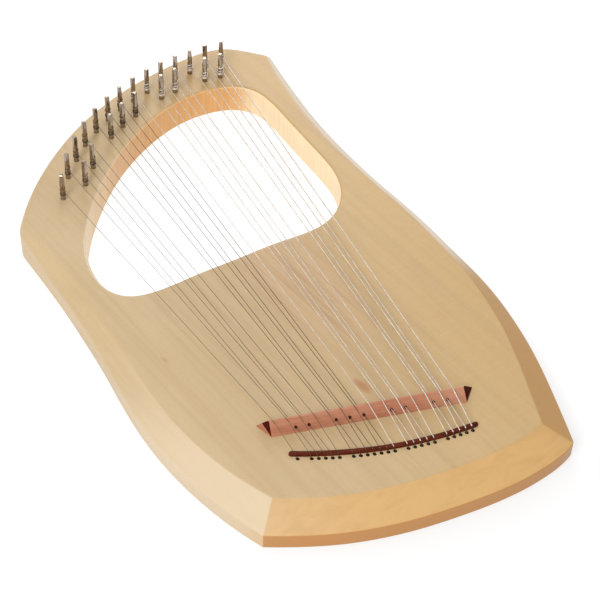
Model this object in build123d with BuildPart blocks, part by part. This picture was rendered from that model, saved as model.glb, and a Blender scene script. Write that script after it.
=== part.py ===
from build123d import *
import math
import os

os.makedirs("parts", exist_ok=True)

# ---------------------------------------------------------------------------
# Chromatic lyre, lying on its back.  Millimetres, +Z up.
# +Y runs from the tail towards the tuning pins, +X towards the bass side.
# The origin is the middle of the flat back.
# ---------------------------------------------------------------------------

# driving dimensions
BODY_T = 32.0           # thickness of the wooden body
BEVEL_DROP = 15.6       # height of the carved bevel on the lower edge
PLATE_T = 4.0           # soundboard and back thickness
PIN_D = 5.0             # zither pin diameter
PIN_UP = 30.0           # pin length above the wood
PIN_IN = 24.0           # pin length in the wood
PIN_CLEAR = 0.03        # radial running clearance of a pin in its hole
PIN_SQUARE = 13.0       # length of the tapered square
PIN_FLAT_TOP = 3.5      # across flats at the top
COIL_Z = 5.0            # height of the lowest string turn above the wood
BRIDGE_H = 12.5
BRIDGE_W = 15.5
RIB_W = 4.9
RIB_H = 3.0
RIB_SET = 4.5           # from a string hole to the middle of the rib
HOLE_D = 3.4            # string hole at the tail
BALL_D = 4.2
BALL_L = 3.5
POCKET_D = 4.9
POCKET_Z = 8.0
JOINT_Y = 236.0         # where the arms are glued to the sound box
RAIL_HALF = 60.0        # half length of the rail under the window

# Outline points are measured from the middle of the tail rib; SHIFT moves
# them so that the part's origin is the middle of the outline.
SHIFT = (-12.0, -231.34)


def at(points):
    return [(x + SHIFT[0], y + SHIFT[1]) for x, y in points]


# outer edge, clockwise from the tail corner on the treble side
BL = (-133.2, -27.2)
TL = (-164.0, 383.0)
TR = (184.0, 508.0)
BR = (148.2, -74.2)
left_out = [BL, (-147.0, 8.0), (-158.8, 52.0), (-165.0, 93.0), (-166.6, 130.0),
            (-165.1, 170.0), (-162.6, 206.0), (-161.2, 244.5), (-160.6, 290.0),
            (-161.9, 340.0), TL]
head_out = [TL, (-147.5, 407.5), (-118.5, 441.6), (-85.5, 471.5), (-45.5, 499.6),
            (-16.5, 514.6), (20.5, 529.4), (58.0, 539.6), (93.5, 546.0),
            (112.0, 547.8), (130.5, 547.0), (149.0, 541.2), (166.0, 527.0), TR]
right_out = [TR, (181.0, 482.0), (176.6, 440.0), (173.4, 396.0), (173.0, 350.0),
             (174.8, 308.0), (178.0, 271.0), (182.0, 238.0), (185.4, 200.0),
             (187.8, 165.0), (190.0, 135.0), (190.6, 110.0), (188.8, 80.0),
             (184.2, 48.0), (175.8, 12.0), (163.6, -28.0), BR]
bottom_out = [BR, (132.5, -79.6), (112.5, -83.2), (95.6, -84.8), (57.4, -84.4),
              (20.9, -80.6), (-14.1, -75.0), (-46.2, -67.0), (-76.9, -56.2),
              (-105.0, -43.0), BL]

# upper edge of the bevel, where it meets the flat top
BL_IN = (-112.6, -7.3)
BR_IN = (125.2, -56.2)
left_in = [BL_IN, (-130.3, 34.0), (-142.3, 78.0), (-147.4, 120.0), (-148.2, 160.0),
           (-148.6, 190.0), (-151.6, 218.0), (-156.4, 246.0), (-159.4, 274.0),
           (-160.8, 304.0), (-161.9, 340.0), TL]
head_in = head_out
right_in = [TR, (181.0, 482.0), (176.6, 440.0), (173.4, 396.0), (173.0, 350.0),
            (174.8, 308.0), (177.8, 271.0), (180.9, 238.0), (182.4, 200.0),
            (181.2, 165.0), (177.2, 135.0), (173.0, 100.0), (165.0, 56.0),
            (153.2, 17.0), (137.0, -24.0), BR_IN]
bottom_in = [BR_IN, (112.0, -57.6), (86.0, -58.4), (35.5, -54.6), (-11.5, -47.6),
             (-43.2, -39.4), (-73.2, -27.6), BL_IN]

# window, clockwise from its lower edge
WIN_A = (-92.0, 250.6)
WIN_B = (92.0, 252.6)
window_round = [WIN_B, (113.5, 262.0), (131.5, 281.5), (141.5, 306.0),
                (144.1, 334.0), (143.8, 372.0), (143.6, 410.0), (142.6, 440.0),
                (136.0, 463.5), (122.0, 477.2), (104.0, 483.6), (80.0, 485.4),
                (46.0, 479.2), (10.0, 463.6), (-22.4, 443.2), (-54.0, 416.4),
                (-83.0, 385.0), (-104.0, 356.8), (-120.0, 326.0), (-126.4, 297.0),
                (-123.2, 271.0), (-111.0, 256.4), WIN_A]

# inner wall of the sound box
CAV_BL = (-103.0, 0.5)
CAV_BR = (117.0, -47.0)
cavity_left = [(-140.0, JOINT_Y), (-138.6, 173.0), (-138.0, 120.0), (-133.0, 80.0),
               (-121.0, 36.0), CAV_BL]
cavity_bottom = [CAV_BL, (-68.0, -18.5), (-40.0, -29.0), (-10.0, -37.6),
                 (35.0, -44.4), (86.0, -48.4), CAV_BR]
cavity_right = [CAV_BR, (128.6, -20.0), (144.0, 20.0), (155.0, 58.0),
                (163.0, 98.0), (168.0, 141.0), (169.0, 180.0), (166.0, JOINT_Y)]

# string holes at the tail, treble to bass, in semitone steps
NAT_NAMES = ["F5", "E5", "D5", "C5", "B4", "A4", "G4", "F4", "E4", "D4", "C4",
             "B3", "A3", "G3"]
ACC_NAMES = ["Ds5", "Cs5", "As4", "Gs4", "Fs4", "Ds4", "Cs4", "As3", "Gs3"]
NAT_STEP = [0, 2, 4, 6, 8, 10, 12, 14, 16, 18, 20, 22, 24, 26]
ACC_STEP = [3, 5, 9, 11, 13, 17, 19, 23, 25]
nat_pins = [(-107.4, 404.5), (-90.3, 429.9), (-72.2, 449.5), (-54.4, 466.0),
            (-35.6, 480.0), (-16.8, 491.0), (1.2, 499.6), (19.8, 506.6),
            (38.4, 512.3), (56.8, 516.4), (75.0, 518.8), (92.9, 520.0),
            (110.8, 519.6), (129.0, 517.6)]
acc_pins = [(-80.0, 412.2), (-62.4, 431.8), (-26.5, 464.4), (-8.4, 474.6),
            (10.6, 483.6), (47.2, 496.6), (64.4, 499.4), (100.5, 501.0),
            (118.0, 499.0)]
TAIL_PTS = {0: (-74.7, 17.0), 2: (-64.3, 11.4), 3: (-59.1, 8.7), 4: (-53.9, 6.1),
            5: (-48.6, 3.5), 6: (-43.2, 1.0), 8: (-32.4, -3.7), 9: (-26.9, -6.0),
            10: (-21.4, -8.1), 11: (-15.9, -10.2), 12: (-10.3, -12.2),
            13: (-4.7, -14.1), 14: (0.9, -15.9), 16: (12.3, -19.0),
            17: (18.0, -20.5), 18: (23.8, -21.9), 19: (29.6, -23.2),
            20: (35.5, -24.5), 22: (47.3, -26.7), 23: (53.2, -27.6),
            24: (59.1, -28.4), 25: (65.0, -29.1), 26: (70.9, -29.7)}
NAT_R = [0.20, 0.20, 0.22, 0.23, 0.25, 0.27, 0.28, 0.40, 0.42, 0.45, 0.48, 0.52,
         0.56, 0.60]
ACC_R = [0.21, 0.22, 0.26, 0.27, 0.28, 0.43, 0.46, 0.54, 0.58]

# the strings, treble to bass: name, pin, tail hole, radius, over the bridge
STRINGS = []
for i, name in enumerate(NAT_NAMES):
    STRINGS.append((name, nat_pins[i], TAIL_PTS[NAT_STEP[i]], NAT_R[i], True))
for i, name in enumerate(ACC_NAMES):
    STRINGS.append((name, acc_pins[i], TAIL_PTS[ACC_STEP[i]], ACC_R[i], False))

# bridge placing: the foot line on the tail side and its direction
BRIDGE_L = (-82.1, 47.3)
BRIDGE_R = (84.6, -1.4)
blen = math.hypot(BRIDGE_R[0] - BRIDGE_L[0], BRIDGE_R[1] - BRIDGE_L[1])
BD = ((BRIDGE_R[0] - BRIDGE_L[0]) / blen, (BRIDGE_R[1] - BRIDGE_L[1]) / blen)
BN = (-BD[1], BD[0])                     # towards the pins


def bridge_point(along, across, up=0.0):
    """a point from the bridge's foot line: along it, across it and up"""
    return (BRIDGE_L[0] + SHIFT[0] + BD[0] * along + BN[0] * across,
            BRIDGE_L[1] + SHIFT[1] + BD[1] * along + BN[1] * across,
            BODY_T + up)


# ---------------------------------------------------------------------------
# The body as one block: vertical sides, then the bevel up to the flat top.
# The pieces below are cut from it.
# ---------------------------------------------------------------------------
with BuildPart() as lower_slab:
    with BuildSketch(Plane.XY) as s_out:
        with BuildLine():
            Spline(*at(left_out))
            Spline(*at(head_out))
            Spline(*at(right_out))
            Spline(*at(bottom_out))
        make_face()
    extrude(amount=BODY_T - BEVEL_DROP)

with BuildPart() as upper_slab:
    with BuildSketch(Plane.XY.offset(BODY_T - BEVEL_DROP)) as s_mid:
        with BuildLine():
            Spline(*at(left_out))
            Spline(*at(head_out))
            Spline(*at(right_out))
            Spline(*at(bottom_out))
        make_face()
    with BuildSketch(Plane.XY.offset(BODY_T)) as s_in:
        with BuildLine():
            Spline(*at(left_in))
            Spline(*at(head_in))
            Spline(*at(right_in))
            Spline(*at(bottom_in))
        make_face()
    loft(ruled=True)

with BuildPart() as body:
    add(lower_slab.part)
    add(upper_slab.part)
    with BuildSketch(Plane.XY) as s_win:
        with BuildLine():
            Line(*at([WIN_A, WIN_B]))
            Spline(*at(window_round))
        make_face()
    extrude(amount=BODY_T, mode=Mode.SUBTRACT)
    # rounded corners of the head
    for corner, radius in ((TL, 16.0), (TR, 9.0)):
        cx, cy = at([corner])[0]
        edges_here = [e for e in body.edges().filter_by(Axis.Z)
                      if math.hypot(e.center().X - cx, e.center().Y - cy) < 2.0]
        if edges_here:
            fillet(edges_here, radius)

pin_xy = at([s[1] for s in STRINGS])
hole_xy = at([s[2] for s in STRINGS])

# cutting lines between the pieces
HEAD_L = (-118.0, 330.0)        # head to treble arm
HEAD_R = (143.6, 428.0)         # head to bass arm

# the head, which holds the tuning pins
with BuildPart() as pin_block:
    add(body.part)
    with BuildSketch(Plane.XY):
        with BuildLine():
            Polyline(*at([(-260, 352), (-110, 322), (0, 322), (100, 428), (300, 428),
                          (300, 700), (-260, 700), (-260, 352)]))
        make_face()
    extrude(amount=BODY_T, mode=Mode.INTERSECT)
    with BuildSketch(Plane.XY.offset(BODY_T)):
        with Locations(*pin_xy):
            Circle(PIN_D / 2 + PIN_CLEAR)
    extrude(amount=-(PIN_IN + 0.1), mode=Mode.SUBTRACT)
pin_block.part.label = "pin_block"
export_step(pin_block.part, "parts/pin_block.step")

with BuildPart() as treble_arm:
    add(body.part)
    with BuildSketch(Plane.XY):
        with BuildLine():
            Polyline(*at([(-260, 352), (-110, 322), (-RAIL_HALF, 322),
                          (-RAIL_HALF, JOINT_Y), (-260, JOINT_Y), (-260, 352)]))
        make_face()
    extrude(amount=BODY_T, mode=Mode.INTERSECT)
treble_arm.part.label = "treble_arm"
export_step(treble_arm.part, "parts/treble_arm.step")

with BuildPart() as bass_arm:
    add(body.part)
    with BuildSketch(Plane.XY):
        with BuildLine():
            Polyline(*at([(300, 428), (100, 428), (RAIL_HALF, 400),
                          (RAIL_HALF, JOINT_Y), (300, JOINT_Y), (300, 428)]))
        make_face()
    extrude(amount=BODY_T, mode=Mode.INTERSECT)
bass_arm.part.label = "bass_arm"
export_step(bass_arm.part, "parts/bass_arm.step")

# the rail below the window, between the soundboard and the back
with BuildPart() as window_rail:
    add(body.part)
    with BuildSketch(Plane.XY.offset(PLATE_T)):
        with BuildLine():
            Polyline(*at([(-RAIL_HALF, JOINT_Y), (RAIL_HALF, JOINT_Y),
                          (RAIL_HALF, 270), (-RAIL_HALF, 270), (-RAIL_HALF, JOINT_Y)]))
        make_face()
    extrude(amount=BODY_T - 2 * PLATE_T, mode=Mode.INTERSECT)
window_rail.part.label = "window_rail"
export_step(window_rail.part, "parts/window_rail.step")

# the region of the sound box in plan: below the arms, and the rail's strip
box_region = at([(-300, JOINT_Y), (-RAIL_HALF, JOINT_Y), (-RAIL_HALF, 270),
                 (RAIL_HALF, 270), (RAIL_HALF, JOINT_Y), (300, JOINT_Y),
                 (300, -200), (-300, -200), (-300, JOINT_Y)])

with BuildPart() as soundboard:
    with BuildSketch(Plane.XY.offset(BODY_T - PLATE_T)):
        with BuildLine():
            Spline(*at(left_in))
            Spline(*at(head_in))
            Spline(*at(right_in))
            Spline(*at(bottom_in))
        make_face()
    extrude(amount=PLATE_T)
    with BuildSketch(Plane.XY.offset(BODY_T - PLATE_T)):
        with BuildLine():
            Polyline(*box_region)
        make_face()
    extrude(amount=PLATE_T, mode=Mode.INTERSECT)
    with BuildSketch(Plane.XY.offset(BODY_T - PLATE_T)):
        with BuildLine():
            Line(*at([WIN_A, WIN_B]))
            Spline(*at(window_round))
        make_face()
    extrude(amount=PLATE_T, mode=Mode.SUBTRACT)
    with BuildSketch(Plane.XY.offset(BODY_T)):
        with Locations(*hole_xy):
            Circle(HOLE_D / 2)
    extrude(amount=-PLATE_T, mode=Mode.SUBTRACT)
soundboard.part.label = "soundboard"
export_step(soundboard.part, "parts/soundboard.step")

with BuildPart() as back_plate:
    add(body.part)
    with BuildSketch(Plane.XY):
        with BuildLine():
            Polyline(*box_region)
        make_face()
    extrude(amount=PLATE_T, mode=Mode.INTERSECT)
    with BuildSketch(Plane.XY):
        with Locations(*hole_xy):
            Circle(POCKET_D / 2)
    extrude(amount=PLATE_T, mode=Mode.SUBTRACT)
back_plate.part.label = "back_plate"
export_step(back_plate.part, "parts/back_plate.step")

# the bevelled rim round the sound box, mitred at the two tail corners
with BuildPart() as rim:
    add(body.part)
    with BuildSketch(Plane.XY.offset(PLATE_T)):
        with BuildLine():
            Polyline(*at([(-300, JOINT_Y), (300, JOINT_Y), (300, -200),
                          (-300, -200), (-300, JOINT_Y)]))
        make_face()
    extrude(amount=BODY_T - PLATE_T, mode=Mode.INTERSECT)
    with BuildSketch(Plane.XY.offset(PLATE_T)):
        with BuildLine():
            Spline(*at(cavity_left))
            Spline(*at(cavity_bottom))
            Spline(*at(cavity_right))
            Line(*at([cavity_right[-1], cavity_left[0]]))
        make_face()
    extrude(amount=BODY_T - PLATE_T, mode=Mode.SUBTRACT)
    add(soundboard.part, mode=Mode.SUBTRACT)

bl_u = ((BL_IN[0] - BL[0]) / math.dist(BL, BL_IN), (BL_IN[1] - BL[1]) / math.dist(BL, BL_IN))
br_u = ((BR_IN[0] - BR[0]) / math.dist(BR, BR_IN), (BR_IN[1] - BR[1]) / math.dist(BR, BR_IN))
MA = (BL[0] - 60 * bl_u[0], BL[1] - 60 * bl_u[1])
MB = (BL[0] + 90 * bl_u[0], BL[1] + 90 * bl_u[1])
MC = (BR[0] + 110 * br_u[0], BR[1] + 110 * br_u[1])
MD = (BR[0] - 60 * br_u[0], BR[1] - 60 * br_u[1])
rim_regions = {
    "treble_rim": [MA, MB, (MB[0], 300), (-300, 300), (-300, MA[1]), MA],
    "tail_rim": [MA, MB, MC, MD, (MD[0], -260), (MA[0], -260), MA],
    "bass_rim": [MD, MC, (MC[0], 300), (300, 300), (300, MD[1]), MD],
}
for name, region in rim_regions.items():
    with BuildPart() as rim_piece:
        add(rim.part)
        with BuildSketch(Plane.XY):
            with BuildLine():
                Polyline(*at(region))
            make_face()
        extrude(amount=BODY_T, mode=Mode.INTERSECT)
    rim_piece.part.label = name
    export_step(rim_piece.part, f"parts/{name}.step")

# the block under the string holes; the strings come up through it from pockets
# in the back
with BuildPart() as tail_block:
    with BuildSketch(Plane.XY.offset(PLATE_T)):
        with BuildLine():
            Polyline(*at([(-92, 30), (-60, 22), (-20, 6), (30, -8), (90, -14),
                          (90, -38), (35, -36), (-10, -30), (-40, -21.5),
                          (-68, -11), (-92, 3), (-92, 30)]))
        make_face()
    extrude(amount=BODY_T - 2 * PLATE_T)
    with BuildSketch(Plane.XY.offset(PLATE_T)):
        with Locations(*hole_xy):
            Circle(HOLE_D / 2)
    extrude(amount=BODY_T - 2 * PLATE_T, mode=Mode.SUBTRACT)
    with BuildSketch(Plane.XY.offset(PLATE_T)):
        with Locations(*hole_xy):
            Circle(POCKET_D / 2)
    extrude(amount=POCKET_Z - PLATE_T, mode=Mode.SUBTRACT)
tail_block.part.label = "tail_block"
export_step(tail_block.part, "parts/tail_block.step")

# two spruce bars under the soundboard, either side of the bridge's middle
with BuildPart() as soundboard_bars:
    with BuildSketch(Plane.XY.offset(BODY_T - PLATE_T - 12.0)):
        for x0, x1 in ((-66.0, -48.0), (58.0, 40.0)):
            a, b = at([(x0, JOINT_Y - 8.0)])[0], at([(x1, 40.0)])[0]
            with BuildLine():
                Polyline((a[0] - 4, a[1]), (a[0] + 4, a[1]), (b[0] + 4, b[1]),
                         (b[0] - 4, b[1]), (a[0] - 4, a[1]))
            make_face()
    extrude(amount=12.0)
soundboard_bars.part.label = "soundboard_bars"
export_step(soundboard_bars.part, "parts/soundboard_bars.step")


def string_path(pin, hole, r, over):
    """Points of a string from its pin to the ball end in the back."""
    px, py = at([pin])[0]
    hx, hy = at([hole])[0]
    start = (px + PIN_D / 2 + r + 0.2, py - 2.75)
    dx, dy = hx - start[0], hy - start[1]
    # rib crossing, RIB_SET before the hole along the string's plan line
    n = math.hypot(dx, dy)
    u = (dx / n, dy / n)

    def back(d, z):
        return (hx - u[0] * d, hy - u[1] * d, BODY_T + z)

    # crossing of the bridge's crest or wall in plan
    def cross(across):
        bx, by = bridge_point(0, across)[:2]
        # solve start + t*(dx,dy) = b + s*BD
        det = dx * (-BD[1]) - dy * (-BD[0])
        t = ((bx - start[0]) * (-BD[1]) - (by - start[1]) * (-BD[0])) / det
        return (start[0] + t * dx, start[1] + t * dy)

    pts = [(start[0], start[1], BODY_T + COIL_Z)]
    if over:
        c = cross(BRIDGE_W / 2 + 0.95)
        d = cross(BRIDGE_W / 2 - 0.95)
        top = BODY_T + BRIDGE_H + r + 0.04
        pts += [(c[0], c[1], top), (d[0], d[1], top)]
    else:
        c = cross(BRIDGE_W / 2)
        pts += [(c[0], c[1], BODY_T + 5.0)]
    pts += [back(RIB_SET + 1.0 + 0.3 * r, RIB_H + r + 0.05),
            back(RIB_SET - 1.0 - 0.45 * r, RIB_H + r + 0.05),
            back(RIB_SET - 2.55 - r, 0.8 + r), (hx, hy, BODY_T - 0.8),
            (hx, hy, POCKET_Z)]
    return pts


# the bridge: a solid ridge of triangular section, its ends cut on a slant so
# that the foot on the pin side is longer
with BuildPart() as bridge:
    sec = Plane(origin=bridge_point(-30, 0), x_dir=(BN[0], BN[1], 0),
                z_dir=(BD[0], BD[1], 0))
    flip = 1.0 if sec.y_dir.Z > 0 else -1.0
    with BuildSketch(sec):
        with BuildLine():
            Polyline((0, 0), (BRIDGE_W / 2 - 0.8, flip * BRIDGE_H),
                     (BRIDGE_W / 2 + 0.8, flip * BRIDGE_H), (BRIDGE_W, 0), (0, 0))
        make_face()
    extrude(amount=blen + 60)
    # slanted ends: each plane runs through the front foot, the crest and the
    # longer back foot
    for end, sgn in ((0.0, -1.0), (blen, 1.0)):
        p_front = Vector(*bridge_point(end, 0, 0))
        p_crest = Vector(*bridge_point(end - 1.3 if sgn < 0 else end - 1.6,
                                       BRIDGE_W / 2, BRIDGE_H))
        p_back = Vector(*bridge_point(end + sgn * 10.0, BRIDGE_W, 0))
        nrm = (p_crest - p_front).cross(p_back - p_front)
        if nrm.dot(Vector(BD[0], BD[1], 0)) * sgn < 0:
            nrm = nrm * -1
        split(bisect_by=Plane(origin=p_crest, z_dir=nrm), keep=Keep.BOTTOM)
    # holes for the strings that pass through the bridge
    for name, pin, hole, r, over in STRINGS:
        if over:
            continue
        pts = string_path(pin, hole, r, over)
        mid = Vector(*pts[1])
        a = (Vector(*pts[0]) - mid).normalized()
        b = (Vector(*pts[2]) - mid).normalized()
        axis = (a - b).normalized()
        with BuildSketch(Plane(origin=mid - axis * 14, z_dir=axis)):
            Circle(1.2)
        extrude(amount=28, mode=Mode.SUBTRACT)
bridge.part.label = "bridge"
export_step(bridge.part, "parts/bridge.step")

# the rib that the strings bend over before their holes
with BuildPart() as string_rib:
    steps = sorted(TAIL_PTS)
    centre = []
    for k in steps:
        x, y = TAIL_PTS[k]
        centre.append((x, y))
    line = []
    for j, (x, y) in enumerate(centre):
        x0, y0 = centre[max(0, j - 1)]
        x1, y1 = centre[min(len(centre) - 1, j + 1)]
        t = math.hypot(x1 - x0, y1 - y0)
        nx, ny = -(y1 - y0) / t, (x1 - x0) / t
        line.append((x + nx * RIB_SET, y + ny * RIB_SET))
    first = (line[0][0] - 7.6 * 0.86, line[0][1] + 7.6 * 0.51)
    last = (line[-1][0] + 7.2 * 0.99, line[-1][1] - 7.2 * 0.10)
    key = [first] + line[::3] + [last]
    with BuildLine() as rib_path:
        Spline(*[(x + SHIFT[0], y + SHIFT[1], BODY_T) for x, y in key])
    t0 = rib_path.line % 0
    with BuildSketch(Plane(origin=rib_path.line @ 0, x_dir=(-t0.Y, t0.X, 0),
                           z_dir=(t0.X, t0.Y, 0))) as rib_sec:
        up = 1.0
        with BuildLine():
            Polyline((-RIB_W / 2, 0), (-RIB_W / 2, 0.6), (-0.9, RIB_H), (0.9, RIB_H),
                     (RIB_W / 2, 0.6), (RIB_W / 2, 0), (-RIB_W / 2, 0))
        make_face()
    sweep(path=rib_path.line)
string_rib.part.label = "string_rib"
export_step(string_rib.part, "parts/string_rib.step")

# ball ends of the strings, in their pockets in the back
with BuildPart() as string_ball_ends:
    with BuildSketch(Plane.XY.offset(POCKET_Z - BALL_L)):
        with Locations(*hole_xy):
            Circle(BALL_D / 2)
    extrude(amount=BALL_L)
string_ball_ends.part.label = "string_ball_ends"
export_step(string_ball_ends.part, "parts/string_ball_ends.step")

# tuning pins, each with the turns of its own string, and the strings
for name, pin, hole, r, over in STRINGS:
    px, py = at([pin])[0]
    z_low = BODY_T - PIN_IN
    z_top = BODY_T + PIN_UP
    R = PIN_D / 2
    turns = [BODY_T + COIL_Z + k * (2 * r + 1.9) for k in range(3)]
    with BuildPart() as tuning_pin:
        with BuildSketch(Plane(origin=(px, py, 0), x_dir=(1, 0, 0), z_dir=(0, -1, 0))):
            with BuildLine():
                pts = [(0, z_low), (R - 0.5, z_low), (R, z_low + 0.8)]
                for zt in turns:
                    pts += [(R, zt - r), (R + 1.4 * r, zt - 0.5 * r),
                            (R + 1.4 * r, zt + 0.5 * r), (R, zt + r)]
                pts += [(R, z_top - 0.4), (R - 0.4, z_top), (0, z_top), (0, z_low)]
                Polyline(*pts)
            make_face()
        revolve(axis=Axis((px, py, 0), (0, 0, 1)))
        # the tapered square for the tuning key
        for k in range(4):
            ang = math.radians(90 * k)
            with BuildSketch(Plane(origin=(px, py, 0),
                                   x_dir=(math.cos(ang), math.sin(ang), 0),
                                   z_dir=(math.sin(ang), -math.cos(ang), 0))):
                with BuildLine():
                    Polyline((PIN_FLAT_TOP / 2, z_top), (R, z_top - PIN_SQUARE),
                             (R + 2, z_top - PIN_SQUARE), (R + 2, z_top),
                             (PIN_FLAT_TOP / 2, z_top))
                make_face()
            extrude(amount=4, both=True, mode=Mode.SUBTRACT)
        # the hole for the string's end
        with BuildSketch(Plane(origin=(px, py, z_top - PIN_SQUARE - 1.8),
                               x_dir=(1, 0, 0), z_dir=(0, -1, 0))):
            Circle(0.8)
        extrude(amount=4, both=True, mode=Mode.SUBTRACT)
    tuning_pin.part.label = f"tuning_pin_{name}"
    export_step(tuning_pin.part, f"parts/tuning_pin_{name}.step")

    path_pts = string_path(pin, hole, r, over)
    with BuildPart() as string:
        with BuildLine() as route:
            FilletPolyline(*path_pts, radius=0.7)
        v0 = Vector(*path_pts[1]) - Vector(*path_pts[0])
        with BuildSketch(Plane(origin=path_pts[0], z_dir=v0)):
            Circle(r)
        sweep(path=route.line)
    string.part.label = f"string_{name}"
    export_step(string.part, f"parts/string_{name}.step")
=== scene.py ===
import math
import random

import bmesh
import bpy
import numpy as np
from mathutils import Matrix, Vector
from mathutils.geometry import delaunay_2d_cdt


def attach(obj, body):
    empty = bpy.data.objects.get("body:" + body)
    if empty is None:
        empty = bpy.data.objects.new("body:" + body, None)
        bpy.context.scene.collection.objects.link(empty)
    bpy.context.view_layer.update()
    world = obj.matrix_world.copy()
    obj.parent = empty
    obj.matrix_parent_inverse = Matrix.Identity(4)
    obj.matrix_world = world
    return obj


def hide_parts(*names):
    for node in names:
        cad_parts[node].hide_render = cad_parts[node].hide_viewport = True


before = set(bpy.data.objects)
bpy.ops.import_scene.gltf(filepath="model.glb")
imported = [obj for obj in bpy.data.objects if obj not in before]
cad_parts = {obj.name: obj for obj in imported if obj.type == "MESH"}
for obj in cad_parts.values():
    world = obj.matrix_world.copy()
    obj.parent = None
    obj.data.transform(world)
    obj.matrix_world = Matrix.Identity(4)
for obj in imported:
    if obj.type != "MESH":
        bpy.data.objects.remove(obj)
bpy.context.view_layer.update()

random.seed(7)
MM = 0.001

# ---------------------------------------------------------------------------
# The lyre's own dimensions, in millimetres, as its CAD source has them
# ---------------------------------------------------------------------------
T = 32.0                 # body thickness
PIN_D, PIN_UP, PIN_IN = 5.0, 30.0, 24.0
PIN_SQUARE, PIN_FLAT_TOP = 13.0, 3.5
COIL_Z = 5.0
BRIDGE_H, BRIDGE_W = 12.5, 15.5
RIB_W, RIB_H, RIB_SET = 4.9, 3.0, 4.5
BALL_D, BALL_L, POCKET_Z = 4.2, 3.5, 8.0
JOINT_Y, RAIL_HALF = 236.0, 60.0
SHIFT = np.array([-12.0, -231.34])

BL, TL, TR, BR = (-133.2, -27.2), (-164.0, 383.0), (184.0, 508.0), (148.2, -74.2)
left_out = [BL, (-147.0, 8.0), (-158.8, 52.0), (-165.0, 93.0), (-166.6, 130.0),
            (-165.1, 170.0), (-162.6, 206.0), (-161.2, 244.5), (-160.6, 290.0),
            (-161.9, 340.0), TL]
head_out = [TL, (-147.5, 407.5), (-118.5, 441.6), (-85.5, 471.5), (-45.5, 499.6),
            (-16.5, 514.6), (20.5, 529.4), (58.0, 539.6), (93.5, 546.0),
            (112.0, 547.8), (130.5, 547.0), (149.0, 541.2), (166.0, 527.0), TR]
right_out = [TR, (181.0, 482.0), (176.6, 440.0), (173.4, 396.0), (173.0, 350.0),
             (174.8, 308.0), (178.0, 271.0), (182.0, 238.0), (185.4, 200.0),
             (187.8, 165.0), (190.0, 135.0), (190.6, 110.0), (188.8, 80.0),
             (184.2, 48.0), (175.8, 12.0), (163.6, -28.0), BR]
bottom_out = [BR, (132.5, -79.6), (112.5, -83.2), (95.6, -84.8), (57.4, -84.4),
              (20.9, -80.6), (-14.1, -75.0), (-46.2, -67.0), (-76.9, -56.2),
              (-105.0, -43.0), BL]
window = [(-92.0, 250.6), (-46.0, 251.1), (0.0, 251.6), (46.0, 252.1), (92.0, 252.6),
          (113.5, 262.0), (131.5, 281.5), (141.5, 306.0), (144.1, 334.0),
          (143.8, 372.0), (143.6, 410.0), (142.6, 440.0), (136.0, 463.5),
          (122.0, 477.2), (104.0, 483.6), (80.0, 485.4), (46.0, 479.2),
          (10.0, 463.6), (-22.4, 443.2), (-54.0, 416.4), (-83.0, 385.0),
          (-104.0, 356.8), (-120.0, 326.0), (-126.4, 297.0), (-123.2, 271.0),
          (-111.0, 256.4)]
cavity_left = [(-140.0, JOINT_Y), (-138.6, 173.0), (-138.0, 120.0), (-133.0, 80.0),
               (-121.0, 36.0), (-103.0, 0.5)]
cavity_bottom = [(-103.0, 0.5), (-68.0, -18.5), (-40.0, -29.0), (-10.0, -37.6),
                 (35.0, -44.4), (86.0, -48.4), (117.0, -47.0)]
cavity_right = [(117.0, -47.0), (128.6, -20.0), (144.0, 20.0), (155.0, 58.0),
                (163.0, 98.0), (168.0, 141.0), (169.0, 180.0), (166.0, JOINT_Y)]
tail_block = [(-92, 30), (-60, 22), (-20, 6), (30, -8), (90, -14), (90, -38),
              (35, -36), (-10, -30), (-40, -21.5), (-68, -11), (-92, 3)]

NAT_NAMES = ["F5", "E5", "D5", "C5", "B4", "A4", "G4", "F4", "E4", "D4", "C4",
             "B3", "A3", "G3"]
ACC_NAMES = ["Ds5", "Cs5", "As4", "Gs4", "Fs4", "Ds4", "Cs4", "As3", "Gs3"]
NAT_STEP = [0, 2, 4, 6, 8, 10, 12, 14, 16, 18, 20, 22, 24, 26]
ACC_STEP = [3, 5, 9, 11, 13, 17, 19, 23, 25]
nat_pins = [(-107.4, 404.5), (-90.3, 429.9), (-72.2, 449.5), (-54.4, 466.0),
            (-35.6, 480.0), (-16.8, 491.0), (1.2, 499.6), (19.8, 506.6),
            (38.4, 512.3), (56.8, 516.4), (75.0, 518.8), (92.9, 520.0),
            (110.8, 519.6), (129.0, 517.6)]
acc_pins = [(-80.0, 412.2), (-62.4, 431.8), (-26.5, 464.4), (-8.4, 474.6),
            (10.6, 483.6), (47.2, 496.6), (64.4, 499.4), (100.5, 501.0),
            (118.0, 499.0)]
TAIL_PTS = {0: (-74.7, 17.0), 2: (-64.3, 11.4), 3: (-59.1, 8.7), 4: (-53.9, 6.1),
            5: (-48.6, 3.5), 6: (-43.2, 1.0), 8: (-32.4, -3.7), 9: (-26.9, -6.0),
            10: (-21.4, -8.1), 11: (-15.9, -10.2), 12: (-10.3, -12.2),
            13: (-4.7, -14.1), 14: (0.9, -15.9), 16: (12.3, -19.0),
            17: (18.0, -20.5), 18: (23.8, -21.9), 19: (29.6, -23.2),
            20: (35.5, -24.5), 22: (47.3, -26.7), 23: (53.2, -27.6),
            24: (59.1, -28.4), 25: (65.0, -29.1), 26: (70.9, -29.7)}
NAT_R = [0.20, 0.20, 0.22, 0.23, 0.25, 0.27, 0.28, 0.40, 0.42, 0.45, 0.48, 0.52,
         0.56, 0.60]
ACC_R = [0.21, 0.22, 0.26, 0.27, 0.28, 0.43, 0.46, 0.54, 0.58]
PLAIN = {"F5", "E5", "D5", "C5", "B4", "A4", "G4", "Ds5", "Cs5", "As4", "Gs4", "Fs4"}
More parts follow.
